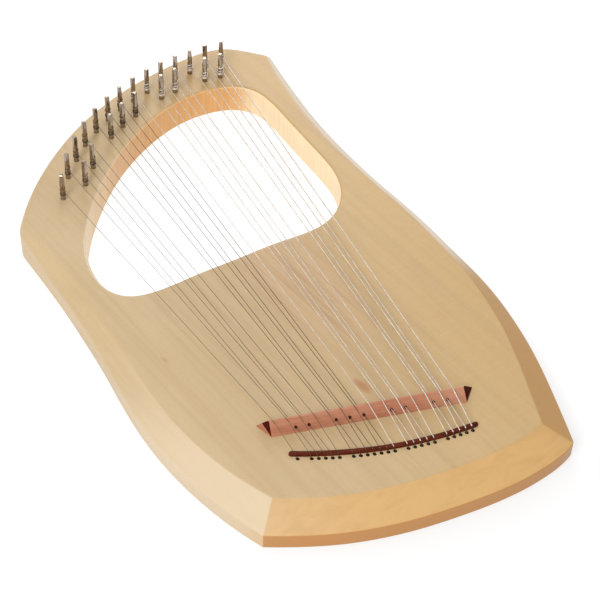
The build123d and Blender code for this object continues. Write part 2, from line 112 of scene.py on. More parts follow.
STRINGS = []
for i, name in enumerate(NAT_NAMES):
    STRINGS.append((name, nat_pins[i], TAIL_PTS[NAT_STEP[i]], NAT_R[i], True))
for i, name in enumerate(ACC_NAMES):
    STRINGS.append((name, acc_pins[i], TAIL_PTS[ACC_STEP[i]], ACC_R[i], False))

BRIDGE_L, BRIDGE_R = np.array([-82.1, 47.3]), np.array([84.6, -1.4])
blen = float(np.linalg.norm(BRIDGE_R - BRIDGE_L))
BD = (BRIDGE_R - BRIDGE_L) / blen
BN = np.array([-BD[1], BD[0]])


def at(p):
    return np.asarray(p, float) + SHIFT


def bridge_point(along, across, up=0.0):
    q = BRIDGE_L + SHIFT + BD * along + BN * across
    return np.array([q[0], q[1], T + up])


# ---------------------------------------------------------------------------
# Curves
# ---------------------------------------------------------------------------
def hermite(P, m, t, step):
    out = []
    for i in range(len(P) - 1):
        h = t[i + 1] - t[i]
        n = max(2, int(math.ceil(h / step)))
        u = np.linspace(0, 1, n, endpoint=False)[:, None]
        out.append((2 * u**3 - 3 * u**2 + 1) * P[i] + (u**3 - 2 * u**2 + u) * h * m[i]
                   + (-2 * u**3 + 3 * u**2) * P[i + 1] + (u**3 - u**2) * h * m[i + 1])
    return np.vstack(out + [P[-1:]])


def spline(points, step=0.5):
    P = np.asarray(points, float)
    h = np.linalg.norm(np.diff(P, axis=0), axis=1)
    t = np.concatenate([[0], np.cumsum(h)])
    n = len(P)

    def end(p0, p1, p2, a, b):
        d0, d1 = (p1 - p0) / a, (p2 - p1) / b
        return d0 + (d0 - d1) * a / (a + b)

    A, B = np.zeros((n, n)), np.zeros((n, 2))
    A[0, 0] = A[-1, -1] = 1
    B[0] = end(P[0], P[1], P[2], h[0], h[1])
    B[-1] = -end(P[-1], P[-2], P[-3], h[-1], h[-2])
    for i in range(1, n - 1):
        A[i, i - 1], A[i, i], A[i, i + 1] = h[i], 2 * (h[i - 1] + h[i]), h[i - 1]
        B[i] = 3 * (h[i] * (P[i] - P[i - 1]) / h[i - 1]
                    + h[i - 1] * (P[i + 1] - P[i]) / h[i])
    return hermite(P, np.linalg.solve(A, B), t, step)


def spline_closed(points, step=0.5):
    P = np.asarray(points, float)
    n = len(P)
    Q = np.vstack([P, P[:1]])
    h = np.linalg.norm(np.diff(Q, axis=0), axis=1)
    A, B = np.zeros((n, n)), np.zeros((n, 2))
    for i in range(n):
        a, b = h[i - 1], h[i]
        A[i, (i - 1) % n] += b
        A[i, i] += 2 * (a + b)
        A[i, (i + 1) % n] += a
        B[i] = 3 * (b * (P[i] - P[i - 1]) / a + a * (P[(i + 1) % n] - P[i]) / b)
    m = np.linalg.solve(A, B)
    t = np.concatenate([[0], np.cumsum(h)])
    return hermite(Q, np.vstack([m, m[:1]]), t, step)[:-1]


def arclen(P):
    return np.concatenate([[0], np.cumsum(np.linalg.norm(np.diff(P, axis=0), axis=1))])


def sample(P, s, at_s):
    return np.column_stack([np.interp(at_s, s, P[:, k]) for k in range(P.shape[1])])


def tangents(P):
    g = np.gradient(P, axis=0)
    return g / np.linalg.norm(g, axis=1)[:, None]


def smooth01(x):
    x = np.clip(x, 0, 1)
    return x * x * (3 - 2 * x)


def bezier(p0, t0, p1, t1, r, n):
    """n points of a near-circular arc from p0 along t0 to p1 along t1, both ends in."""
    phi = math.acos(max(-1.0, min(1.0, float(np.dot(t0, t1)))))
    k = np.linalg.norm(p1 - p0) / (2 * math.sin(max(phi, 1e-3) / 2)) * 4 / 3 * math.tan(max(phi, 1e-3) / 4)
    a, b = p0 + t0 * k, p1 - t1 * k
    u = np.linspace(0, 1, n)[:, None]
    return ((1 - u)**3 * p0 + 3 * (1 - u)**2 * u * a + 3 * (1 - u) * u**2 * b + u**3 * p1)


# ---------------------------------------------------------------------------
# Rings round the outline: the outer edge, and the bevel's upper line
# ---------------------------------------------------------------------------
def edge_profile(side, P, s):
    """bevel width, bevel drop and the two softening lengths along a side"""
    x, y = P[:, 0], P[:, 1]
    if side == "left":
        w = np.interp(y, [-27, 10, 34, 78, 120, 160, 200, 240, 300, 350, 383],
                      [26.8, 24.0, 22.4, 20.6, 19.2, 17.2, 15.2, 14.2, 13.8, 11.0, 3.4])
        d = np.interp(y, [-27, 40, 130, 190, 330, 383], [15.6, 15.6, 13.6, 11.8, 10.5, 3.2])
        tA = np.interp(y, [-27, 100, 200, 330, 383], [1.0, 1.4, 3.0, 4.0, 1.9])
        tB = np.interp(y, [-27, 100, 200, 330, 383], [1.0, 1.6, 2.2, 2.8, 1.9])
    elif side == "right":
        w = np.interp(-y, [-508, -480, -411, -352, -300, -248, -196, -159, -135, -100,
                           -56, -17, 24, 74],
                      [4.2, 8.0, 9.6, 9.4, 8.0, 7.8, 9.2, 10.9, 13.0, 17.2, 20.4, 23.4,
                       25.6, 27.2])
        d = np.interp(-y, [-508, -480, -400, -250, -196, -135, -60, 74],
                      [3.4, 4.6, 5.2, 4.6, 5.4, 8.2, 12.4, 15.6])
        tA = np.interp(-y, [-508, -400, -250, -100, 74], [1.9, 2.6, 2.4, 1.4, 1.0])
        tB = np.interp(-y, [-508, -400, -250, -100, 74], [1.9, 2.2, 2.2, 1.6, 1.2])
    elif side == "head":
        f = smooth01((s - (s[-1] - 26)) / 26)
        w = 3.4 + 0.8 * f
        d = 3.2 + 0.2 * f
        tA = np.full(len(s), 1.9)
        tB = np.full(len(s), 1.9)
    else:
        w = np.full(len(s), 27.2)
        d = np.full(len(s), 15.6)
        tA = np.full(len(s), 1.0)
        tB = np.full(len(s), 1.1)
    k = np.ones(31) / 31
    if side in ("left", "right"):
        def soft(v):
            pad = np.concatenate([np.full(15, v[0]), v, np.full(15, v[-1])])
            return np.convolve(pad, k, "valid")
        w, d, tA, tB = soft(w), soft(d), soft(tA), soft(tB)
    return w, d, tA, tB


def cross_point(A, B):
    """where polyline A's last stretch crosses polyline B's first: their indices"""
    a = A[len(A) // 2:]
    b = B[:len(B) // 2]
    dist = np.linalg.norm(a[:, None] - b[None], axis=2)
    i, j = np.unravel_index(np.argmin(dist), dist.shape)
    return len(A) // 2 + i, j


SIDES = ["left", "head", "right", "bottom"]
LINES = {"left": left_out, "head": head_out, "right": right_out, "bottom": bottom_out}
R_OUT = {"left": 26.0, "head": 9.0, "right": 6.5, "bottom": 1.0}   # corner after each side
R_IN = {"left": 22.0, "head": 5.5, "right": 2.5, "bottom": 0.7}
CORNER_N = 9

side = {}
for k in SIDES:
    P = spline(at(LINES[k]), 0.5)
    s = arclen(P)
    tan = tangents(P)
    nrm = np.column_stack([tan[:, 1], -tan[:, 0]])       # inward: the loop is clockwise
    w, d, tA, tB = edge_profile(k, P - SHIFT, s)
    side[k] = dict(P=P, s=s, w=w, d=d, tA=tA, tB=tB, Q=P + nrm * w[:, None], tan=tan)

for i, k in enumerate(SIDES):
    nxt = SIDES[(i + 1) % 4]
    ia, jb = cross_point(side[k]["Q"], side[nxt]["Q"])
    side[k]["in_end"] = side[k]["s"][ia]
    side[nxt]["in_start"] = side[nxt]["s"][jb]

for i, k in enumerate(SIDES):
    a, b = side[k], side[SIDES[(i + 1) % 4]]
    phi = math.acos(max(-1, min(1, float(np.dot(a["tan"][-1], b["tan"][0])))))
    cut = R_OUT[k] * math.tan(phi / 2)
    a["out_end"] = a["s"][-1] - cut
    b["out_start"] = cut
    cut_in = R_IN[k] * math.tan(phi / 2)
    a["in_end2"] = a["in_end"] - cut_in
    b["in_start2"] = b["in_start"] + cut_in

outer, inner, DD, TA, TB, WW = [], [], [], [], [], []
for i, k in enumerate(SIDES):
    a, b = side[k], side[SIDES[(i + 1) % 4]]
    so, se = a["out_start"], a["out_end"]
    n = max(8, int(round((se - so) / 2.6)))
    u = np.linspace(0, 1, n)
    ss = so + (se - so) * u
    d0, d1 = a["in_start2"] - so, a["in_end2"] - se
    g = ss.copy()
    if abs(d0) > 1e-6:
        g += d0 * np.clip(1 - (ss - so) / (2.3 * abs(d0)), 0, 1) ** 2
    if abs(d1) > 1e-6:
        g += d1 * np.clip(1 - (se - ss) / (2.3 * abs(d1)), 0, 1) ** 2
    g = np.maximum.accumulate(g)
    outer.append(sample(a["P"], a["s"], ss))
    inner.append(sample(a["Q"], a["s"], g))
    for store, key in ((DD, "d"), (TA, "tA"), (TB, "tB"), (WW, "w")):
        store.append(np.interp(ss, a["s"], a[key]))
    # the corner after this side
    p0, p1 = outer[-1][-1], sample(b["P"], b["s"], [b["out_start"]])[0]
    t0 = sample(a["tan"], a["s"], [se])[0]
    t1 = sample(b["tan"], b["s"], [b["out_start"]])[0]
    outer.append(bezier(p0, t0, p1, t1, R_OUT[k], CORNER_N)[1:-1])
    q0, q1 = inner[-1][-1], sample(b["Q"], b["s"], [b["in_start2"]])[0]
    ta = tangents(a["Q"])
    tb = tangents(b["Q"])
    t0 = sample(ta, a["s"], [g[-1]])[0]
    t1 = sample(tb, b["s"], [b["in_start2"]])[0]
    inner.append(bezier(q0, t0, q1, t1, R_IN[k], CORNER_N)[1:-1])
    f = np.linspace(0, 1, CORNER_N)[1:-1]
    for store, key in ((DD, "d"), (TA, "tA"), (TB, "tB"), (WW, "w")):
        v0 = store[-1][-1]
        v1 = np.interp(b["out_start"], b["s"], b[key])
        store.append(v0 + (v1 - v0) * f)
outer, inner = np.vstack(outer), np.vstack(inner)
DD, TA, TB, WW = map(np.concatenate, (DD, TA, TB, WW))
N = len(outer)
reach = inner - outer                      # from the outline to the bevel's upper line
ratio = 1.0 / np.maximum(WW, 1e-6)         # plan distance u in mm -> share of reach


def ring_pt(u, z):
    """a ring of points u mm in from the outline, at height z (arrays or numbers)"""
    u = np.broadcast_to(u, (N,))
    z = np.broadcast_to(z, (N,))
    xy = outer + reach * (u * ratio)[:, None]
    return np.column_stack([xy, z])


def quad_bez(p0, p1, p2, n):
    out = []
    for k in range(n + 1):
        t = k / n
        out.append([(1 - t)**2 * p0[c] + 2 * (1 - t) * t * p1[c] + t * t * p2[c]
                    for c in range(2)])
    return out


slope = np.hypot(WW, DD)
cw, cd = WW / slope, DD / slope            # along the bevel: inward and up
rings = []
rings.append(ring_pt(WW + TA + 0.8, T))
for u, z in quad_bez((WW + TA, np.full(N, T)), (WW, np.full(N, T)),
                     (WW - cw * TA, T - cd * TA), 4):
    rings.append(ring_pt(u, z))
for f in (0.12, 0.37, 0.63, 0.88):         # across the bevel's face
    u0, z0 = WW - cw * TA, T - cd * TA
    u1, z1 = cw * TB, T - DD + cd * TB
    rings.append(ring_pt(u0 + (u1 - u0) * f, z0 + (z1 - z0) * f))
for u, z in quad_bez((cw * TB, T - DD + cd * TB), (np.zeros(N), T - DD),
                     (np.zeros(N), T - DD - TB), 5):
    rings.append(ring_pt(u, z))
rings.append(ring_pt(0.0, T - DD - TB - 0.8))
rings.append(ring_pt(0.0, 6.0))
rings.append(ring_pt(0.0, 2.2))
for u, z in quad_bez((np.zeros(N), np.full(N, 1.6)), (np.zeros(N), np.zeros(N)),
                     (np.full(N, 1.6), np.zeros(N)), 4):
    rings.append(ring_pt(u, z))
rings.append(ring_pt(2.4, 0.0))

# the window: its wall has a soft edge above and a smaller one below
win = spline_closed(at(window), 0.5)
ws = arclen(np.vstack([win, win[:1]]))
nw = int(round(ws[-1] / 2.4))
win = sample(np.vstack([win, win[:1]]), ws, np.linspace(0, ws[-1], nw, endpoint=False))
wt = np.roll(win, -1, axis=0) - np.roll(win, 1, axis=0)
wt /= np.linalg.norm(wt, axis=1)[:, None]
wn = np.column_stack([wt[:, 1], -wt[:, 0]])
if ((win + wn * 5 - win.mean(0))**2).sum() < ((win - win.mean(0))**2).sum():
    wn = -wn                               # into the wood


def win_pt(u, z):
    return np.column_stack([win + wn * u, np.full(nw, z)])


def arc_edge(r, z_edge, sign, n):
    """round of radius r between the wall (u 0) and a flat face at z_edge"""
    out = []
    for k in range(n + 1):
        a = math.pi / 2 * k / n
        out.append((r - r * math.sin(a), z_edge - sign * (r - r * math.cos(a))))
    return out


wrings = [win_pt(4.1, T)]
for u, z in arc_edge(3.2, T, 1, 6):
    wrings.append(win_pt(u, z))
for z in (T - 4.0, T - 10.0, 16.0, 9.0, 3.0):
    wrings.append(win_pt(0.0, z))
for u, z in reversed(arc_edge(2.2, 0.0, -1, 5)):
    wrings.append(win_pt(u, z))
wrings.append(win_pt(3.0, 0.0))


# ---------------------------------------------------------------------------
# Meshes
# ---------------------------------------------------------------------------
class Mesh:
    def __init__(self):
        self.v, self.f, self.n = [], [], 0

    def add(self, pts):
        pts = np.asarray(pts, float)
        self.v.append(pts)
        i = np.arange(self.n, self.n + len(pts))
        self.n += len(pts)
        return i

    def strip(self, a, b, closed=True):
        m = len(a)
        for k in range(m if closed else m - 1):
            j = (k + 1) % m
            self.f.append((a[k], a[j], b[j], b[k]))

    def fan(self, a, centre):
        for k in range(len(a)):
            self.f.append((a[k], a[(k + 1) % len(a)], centre))

    def flat(self, loops, inside):
        """triangles between closed loops of vertex ids; inside(xy) keeps or drops"""
        V = np.vstack(self.v)
        ids = np.concatenate(loops)
        edges, base = [], 0
        for lp in loops:
            m = len(lp)
            edges += [(base + k, base + (k + 1) % m) for k in range(m)]
            base += m
        res = delaunay_2d_cdt([Vector(V[i][:2]) for i in ids], edges, [], 0, 1e-7)
        vo, faces, orig = res[0], res[2], res[3]
        back = []
        for k, o in enumerate(orig):
            if not o:
                raise RuntimeError("the flat face's loops cross")
            back.append(ids[o[0]])
        tri = np.array([list(f) for f in faces])
        co = np.array([list(v) for v in vo])
        cen = co[tri].mean(1)
        keep = inside(cen)
        for t in tri[keep]:
            self.f.append(tuple(int(back[q]) for q in t))

    def build(self, name, flip=False, smooth=True, sharp=35.0):
        me = bpy.data.meshes.new(name)
        V = np.vstack(self.v) * MM
        me.from_pydata(V.tolist(), [], [tuple(int(q) for q in f) for f in self.f])
        bm = bmesh.new()
        bm.from_mesh(me)
        bmesh.ops.recalc_face_normals(bm, faces=bm.faces)
        if flip:
            bmesh.ops.reverse_faces(bm, faces=bm.faces)
        bm.to_mesh(me)
        bm.free()
        finish_mesh(me, smooth, sharp)
        return me


def finish_mesh(me, smooth=True, sharp=35.0):
    for p in me.polygons:
        p.use_smooth = smooth
    if smooth and sharp:
        me.set_sharp_from_angle(angle=math.radians(sharp))


def place(name, me, body, material, replaces=()):
    ob = bpy.data.objects.new(name, me)
    bpy.context.scene.collection.objects.link(ob)
    me.materials.clear()
    me.materials.append(material)
    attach(ob, body)
    if replaces:
        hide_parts(*replaces)
    return ob


def in_poly(poly, pts):
    x, y = pts[:, 0], pts[:, 1]
    c = np.zeros(len(pts), bool)
    a, b = poly, np.roll(poly, -1, axis=0)
    for (x0, y0), (x1, y1) in zip(a, b):
        hit = ((y0 > y) != (y1 > y)) & (x < (x1 - x0) * (y - y0) / ((y1 - y0) or 1e-12) + x0)
        c ^= hit
    return c


def circle(cx, cy, r, z, n=24, turn=0.0):
    a = np.linspace(0, 2 * math.pi, n, endpoint=False) + turn
    return np.column_stack([cx + r * np.cos(a), cy + r * np.sin(a), np.full(n, z)])


# ---------------------------------------------------------------------------
# Materials
# ---------------------------------------------------------------------------
class Nodes:
    """a material's node tree, written as nested calls"""

    def __init__(self, name):
        self.mat = bpy.data.materials.new(name)
        self.mat.use_nodes = True
        self.t = self.mat.node_tree
        self.t.nodes.clear()
        self.out = self.t.nodes.new("ShaderNodeOutputMaterial")
        self.bsdf = self.t.nodes.new("ShaderNodeBsdfPrincipled")
        self.t.links.new(self.bsdf.outputs[0], self.out.inputs[0])
        self.coord = self.t.nodes.new("ShaderNodeTexCoord").outputs["Object"]

    def put(self, socket, value):
        if isinstance(value, bpy.types.NodeSocket):
            self.t.links.new(value, socket)
        elif isinstance(value, (tuple, list)) and len(value) == 3 and socket.type == "RGBA":
            socket.default_value = (*value, 1.0)
        else:
            socket.default_value = value

    def set(self, **values):
        for key, value in values.items():
            self.put(self.bsdf.inputs[key.replace("_", " ")], value)

    def mapping(self, scale=(1, 1, 1), rot=(0, 0, 0), loc=(0, 0, 0), vec=None):
        n = self.t.nodes.new("ShaderNodeMapping")
        self.put(n.inputs["Vector"], vec or self.coord)
        n.inputs["Scale"].default_value = scale
        n.inputs["Rotation"].default_value = rot
        n.inputs["Location"].default_value = loc
        return n.outputs[0]

    def noise(self, vec, scale, detail=2.0, rough=0.5, distort=0.0):
        n = self.t.nodes.new("ShaderNodeTexNoise")
        self.put(n.inputs["Vector"], vec)
        n.inputs["Scale"].default_value = scale
        n.inputs["Detail"].default_value = detail
        n.inputs["Roughness"].default_value = rough
        n.inputs["Distortion"].default_value = distort
        return n.outputs[0]

    def wave(self, vec, scale, distort=0.0, detail=0.0, dscale=1.0, direction="X", profile="SIN"):
        n = self.t.nodes.new("ShaderNodeTexWave")
        n.bands_direction = direction
        n.wave_profile = profile
        self.put(n.inputs["Vector"], vec)
        n.inputs["Scale"].default_value = scale
        n.inputs["Distortion"].default_value = distort
        n.inputs["Detail"].default_value = detail
        n.inputs["Detail Scale"].default_value = dscale
        return n.outputs[1]

    def math(self, op, a, b=0.0, c=0.0, clamp=False):
        n = self.t.nodes.new("ShaderNodeMath")
        n.operation = op
        n.use_clamp = clamp
        for k, v in enumerate((a, b, c)):
            self.put(n.inputs[k], v)
        return n.outputs[0]

    def ramp(self, value, lo, hi, to_lo=0.0, to_hi=1.0, smooth=True):
        n = self.t.nodes.new("ShaderNodeMapRange")
        n.interpolation_type = "SMOOTHSTEP" if smooth else "LINEAR"
        for k, v in zip(("Value", "From Min", "From Max", "To Min", "To Max"),
                        (value, lo, hi, to_lo, to_hi)):
            self.put(n.inputs[k], v)
        return n.outputs[0]

    def mix(self, fac, a, b, mode="MIX"):
        n = self.t.nodes.new("ShaderNodeMix")
        n.data_type = "RGBA"
        n.blend_type = mode
        self.put(n.inputs["Factor"], fac)
        self.put(n.inputs["A"], a)
        self.put(n.inputs["B"], b)
        return n.outputs["Result"]

    def xyz(self, vec):
        n = self.t.nodes.new("ShaderNodeSeparateXYZ")
        self.put(n.inputs[0], vec)
        return n.outputs

    def bump(self, height, strength, distance, normal=None):
        n = self.t.nodes.new("ShaderNodeBump")
        n.inputs["Strength"].default_value = strength
        n.inputs["Distance"].default_value = distance
        self.put(n.inputs["Height"], height)
        if normal:
            self.put(n.inputs["Normal"], normal)
        return n.outputs[0]

    def normal(self):
        return self.t.nodes.new("ShaderNodeNewGeometry").outputs["Normal"]


GRAIN = math.radians(-7.0)      # the boards' grain leans a little from the long axis


SHEEN_LO, SHEEN_HI = -0.120, -0.040           # where, along the bass edge, the painted shade below gives way to the painted sheen above


def maple():
    m = Nodes("pale_maple")
    v = m.mapping(rot=(0, 0, GRAIN))
    px, py, pz = m.xyz(v)[:3]
    ox, oy, oz = m.xyz(m.coord)[:3]
    # broad warm and pale areas
    broad = m.noise(m.mapping(scale=(1, 0.45, 1), vec=v), 11.0, 3.0, 0.55)
    tone = m.mix(m.ramp(broad, 0.32, 0.68), (0.458, 0.326, 0.173), (0.500, 0.364, 0.202))
    # painted shade: the wood goes darker and warmer towards the bass side, away from the key light
    tone = m.mix(m.ramp(ox, -0.10, 0.16, 0.0, 0.95), tone, (0.474, 0.304, 0.120))
    # growth rings, long and soft
    ring = m.noise(m.mapping(scale=(1, 0.030, 1), vec=v), 120.0, 3.0, 0.6, 0.4)
    tone = m.mix(m.ramp(ring, 0.40, 0.75, 0.0, 0.34), tone, (0.370, 0.240, 0.115))
    # fine fibres and short pores
    fibre = m.noise(m.mapping(scale=(1, 0.018, 1), vec=v), 900.0, 2.0, 0.6)
    tone = m.mix(m.ramp(fibre, 0.52, 0.80, 0.0, 0.26), tone, (0.350, 0.235, 0.120))
    pore = m.noise(m.mapping(scale=(1, 0.09, 1), vec=v), 2400.0, 1.0, 0.5)
    tone = m.mix(m.ramp(pore, 0.60, 0.78, 0.0, 0.22), tone, (0.290, 0.175, 0.080))
    # a light ripple across the grain
    curl = m.noise(m.mapping(scale=(0.25, 1, 0.25), vec=v), 260.0, 2.0, 0.5, 0.3)
    tone = m.mix(m.ramp(curl, 0.35, 0.75, 0.0, 0.12), tone, (0.500, 0.385, 0.230))
    # reddish heartwood down the middle, between the window and the bridge
    wob = m.noise(m.mapping(scale=(1, 0.3, 1), vec=v), 14.0, 2.0, 0.5)
    across = m.math("ADD", px, m.math("MULTIPLY", m.math("SUBTRACT", wob, 0.5), 0.05))
    dist = m.math("ABSOLUTE", m.math("SUBTRACT", across, 0.018))
    band = m.ramp(dist, 0.012, 0.058, 1.0, 0.0)
    length = m.math("MULTIPLY", m.ramp(py, -0.19, -0.06), m.ramp(py, 0.06, 0.20, 1.0, 0.0))
    band = m.math("MULTIPLY", band, length)
    streak = m.noise(m.mapping(scale=(1, 0.022, 1), vec=v), 320.0, 3.0, 0.65, 0.3)
    heart = m.mix(m.ramp(streak, 0.40, 0.72), (0.490, 0.325, 0.178), (0.375, 0.212, 0.104))
    tone = m.mix(m.math("MULTIPLY", band, 0.72), tone, heart)
    # three small knots, each drawn out along the grain
    for kx, ky, size, depth in ((0.0041, -0.1729, 0.0046, 0.80),
                                (-0.1316, -0.0621, 0.0020, 0.40),
                                (-0.0023, -0.2929, 0.0016, 0.60)):
        dx = m.math("SUBTRACT", ox, kx)
        dy = m.math("SUBTRACT", oy, ky)
        dx = m.math("ADD", dx, m.math("MULTIPLY", dy, 0.22))
        r = m.math("SQRT", m.math("ADD", m.math("MULTIPLY", dx, dx),
                                  m.math("MULTIPLY", m.math("MULTIPLY", dy, dy), 0.26)))
        r = m.math("ADD", r, m.math("MULTIPLY", m.math("SUBTRACT", streak, 0.5), size * 1.2))
        spot = m.ramp(r, size * 0.25, size * 1.5, depth, 0.0)
        tone = m.mix(spot, tone, (0.360, 0.160, 0.055))
    # end grain on faces that look along the boards takes more oil; faces turned towards the tail are also darkened
    # with painted shade
    n = m.xyz(m.normal())
    endgrain_shade = m.ramp(m.math("MULTIPLY", n[1], -1.0), 0.22, 0.95)
    tone = m.mix(m.math("MULTIPLY", endgrain_shade, 0.92), tone, (0.450, 0.190, 0.034))
    # painted light: on the lower body, faces turned to the treble side, towards the key light, are made pale
    west_light = m.ramp(m.math("MULTIPLY", n[0], -1.0), 0.12, 0.50)
    west_light = m.math("MULTIPLY", west_light, m.ramp(oy, -0.17, 0.0, 1.0, 0.0))
    west_light = m.math("MULTIPLY", west_light, m.ramp(m.math("MULTIPLY", n[1], -1.0), 0.62, 0.88, 1.0, 0.0))
    tone = m.mix(m.math("MULTIPLY", west_light, 0.55), tone, (0.620, 0.500, 0.355))
    # painted sheen: faces turned to the bass side are made pale from the upper arm to the head
    painted_sheen = m.math("MULTIPLY", m.ramp(n[0], 0.10, 0.46), m.ramp(oy, SHEEN_LO, SHEEN_HI))
    tone = m.mix(m.math("MULTIPLY", painted_sheen, 0.85), tone, (0.670, 0.580, 0.470))
    # painted shade: below that, faces turned to the bass side, away from the key light, are made darker and more
    # orange
    east_shade = m.math("MULTIPLY", m.ramp(n[0], 0.10, 0.46), m.ramp(oy, SHEEN_LO - 0.02, SHEEN_HI - 0.02, 1.0, 0.0))
    tone = m.mix(m.math("MULTIPLY", east_shade, 0.85), tone, (0.430, 0.218, 0.054))
    # painted light: the bottom bevel is made warmer and a little brighter than the top, with a swirl of end-grain
    # figure
    south_light = m.ramp(m.math("MULTIPLY", n[1], -1.0), 0.30, 0.50)
    south_light = m.math("MULTIPLY", south_light, m.ramp(m.math("MULTIPLY", n[1], -1.0), 0.62, 0.85, 1.0, 0.0))
    swirl = m.noise(m.mapping(scale=(0.30, 1, 1), vec=v), 75.0, 4.0, 0.6, 1.2)
    bevel = m.mix(m.ramp(swirl, 0.35, 0.70), (0.612, 0.368, 0.140), (0.560, 0.322, 0.114))
    tone = m.mix(m.math("MULTIPLY", south_light, 0.72), tone, bevel)
    m.set(Base_Color=tone, Metallic=0.0)
    m.set(Roughness=m.ramp(fibre, 0.3, 0.8, 0.40, 0.52, smooth=False))
    m.set(Specular_IOR_Level=0.42)
    m.bsdf.inputs["Coat Weight"].default_value = 0.18
    m.bsdf.inputs["Coat Roughness"].default_value = 0.22
    h = m.math("ADD", m.math("MULTIPLY", fibre, 0.6), m.math("MULTIPLY", pore, -0.5))
    m.set(Normal=m.bump(h, 0.10, 0.00015))
    return m.mat


def window_wall():
    m = Nodes("maple_window_wall")
    v = m.mapping(scale=(1, 1, 0.05))
    n = m.xyz(m.normal())
    line = m.noise(v, 420.0, 3.0, 0.6)
    # painted light: the wall is a much paler copy of the maple, as if lit from below; the faces looking down the
    # boards turn amber, end grain with painted warm bounce light
    cream = m.mix(m.ramp(line, 0.35, 0.72), (0.84, 0.66, 0.42), (0.79, 0.60, 0.36))
    amber = m.mix(m.ramp(line, 0.35, 0.72), (0.68, 0.365, 0.135), (0.62, 0.315, 0.105))
    head = m.ramp(m.math("MULTIPLY", n[1], -1.0), 0.42, 0.95)
    m.set(Base_Color=m.mix(head, cream, amber), Roughness=m.ramp(line, 0.3, 0.8, 0.36, 0.5, smooth=False))
    m.set(Specular_IOR_Level=0.4, Normal=m.bump(line, 0.08, 0.00015))
    return m.mat


def cherry():
    m = Nodes("salmon_cherry")
    ang = math.atan2(BD[1], BD[0])
    v = m.mapping(rot=(0, 0, -ang))
    broad = m.noise(m.mapping(scale=(0.12, 1, 1), vec=v), 130.0, 3.0, 0.55)
    tone = m.mix(m.ramp(broad, 0.35, 0.68), (0.385, 0.142, 0.073), (0.455, 0.192, 0.108))
    fibre = m.noise(m.mapping(scale=(0.05, 1, 1), vec=v), 900.0, 3.0, 0.6)
    tone = m.mix(m.ramp(fibre, 0.48, 0.78, 0.0, 0.55), tone, (0.250, 0.078, 0.040))
    fleck = m.noise(m.mapping(scale=(0.35, 1, 1), vec=v), 1700.0, 1.0, 0.5)
    tone = m.mix(m.ramp(fleck, 0.62, 0.78, 0.0, 0.35), tone, (0.54, 0.29, 0.18))
    ox = m.xyz(m.coord)[0]
    tone = m.mix(m.ramp(ox, 0.0, 0.085, 0.0, 0.55), tone, (0.560, 0.285, 0.175))
    m.set(Base_Color=tone, Roughness=m.ramp(fibre, 0.3, 0.8, 0.45, 0.6, smooth=False))
    m.set(Specular_IOR_Level=0.4, Normal=m.bump(fibre, 0.18, 0.0002))
    return m.mat


# near-black wood for the bridge's end faces and string bores: painted shade
def bridge_shade():
    m = Nodes("painted_shade_bridge")
    fibre = m.noise(m.mapping(rot=(0, 0, 0.3), scale=(0.06, 1, 1)), 800.0, 3.0, 0.6)
    tone = m.mix(m.ramp(fibre, 0.35, 0.7), (0.042, 0.004, 0.003), (0.080, 0.010, 0.007))
    m.set(Base_Color=tone, Roughness=0.7, Specular_IOR_Level=0.05)
    m.set(Normal=m.bump(fibre, 0.15, 0.0002))
    return m.mat


def rosewood():
    m = Nodes("dark_rosewood")
    v = m.mapping(rot=(0, 0, 0.32))
    fibre = m.noise(m.mapping(scale=(0.06, 1, 1), vec=v), 800.0, 3.0, 0.6)
    tone = m.mix(m.ramp(fibre, 0.35, 0.7), (0.055, 0.007, 0.0025), (0.120, 0.020, 0.006))
    m.set(Base_Color=tone, Roughness=m.ramp(fibre, 0.3, 0.8, 0.28, 0.42, smooth=False))
    m.set(Specular_IOR_Level=0.08, Normal=m.bump(fibre, 0.12, 0.00015))
    m.bsdf.inputs["Coat Weight"].default_value = 0.0
    return m.mat


def spruce():
    m = Nodes("spruce_bar")
    ring = m.wave(m.coord, 240.0, 1.5, 2.0, 1.0, "X")
    tone = m.mix(m.ramp(ring, 0.2, 0.9), (0.62, 0.47, 0.29), (0.47, 0.30, 0.15))
    m.set(Base_Color=tone, Roughness=0.6)
    m.set(Normal=m.bump(ring, 0.2, 0.0002))
    return m.mat


def metal(name, light, dark, rough_lo, rough_hi, scale=900.0, stretch=(1, 1, 0.15)):
    m = Nodes(name)
    mottled = m.noise(m.mapping(scale=stretch), scale, 3.0, 0.6)
    patina = m.noise(m.coord, 260.0, 2.0, 0.5)
    tone = m.mix(m.ramp(patina, 0.35, 0.7), light, dark)
    m.set(Base_Color=tone, Metallic=1.0)
    m.set(Roughness=m.ramp(mottled, 0.3, 0.7, rough_lo, rough_hi, smooth=False))
    m.set(Normal=m.bump(mottled, 0.08, 0.00005))
    return m.mat


def wound():
    m = Nodes("wound_silver")
    turns = m.wave(m.coord, 1500.0, 0.0, 0.0, 1.0, "Y")
    patina = m.noise(m.coord, 120.0, 2.0, 0.5)
    tone = m.mix(m.ramp(patina, 0.3, 0.7), (0.74, 0.67, 0.58), (0.60, 0.52, 0.44))
    m.set(Base_Color=tone, Metallic=0.85, Roughness=0.38)
    m.set(Normal=m.bump(turns, 0.35, 0.00008))
    return m.mat


WOOD = maple()
WALL = window_wall()
CHERRY = cherry()
ROSE = rosewood()
BRIDGE_SHADE = bridge_shade()
SPRUCE = spruce()
# painted reflection: the nickel is a dark warm brown, partly standing for the wood that the pins reflect
NICKEL = metal("nickel_plate", (0.40, 0.335, 0.27), (0.27, 0.215, 0.165), 0.14, 0.28)
# painted shade: the plain steel wire is made near black so that it reads dark under the white light
STEEL = metal("plain_steel_wire", (0.135, 0.108, 0.085), (0.085, 0.068, 0.052), 0.32, 0.45)
WOUND = wound()
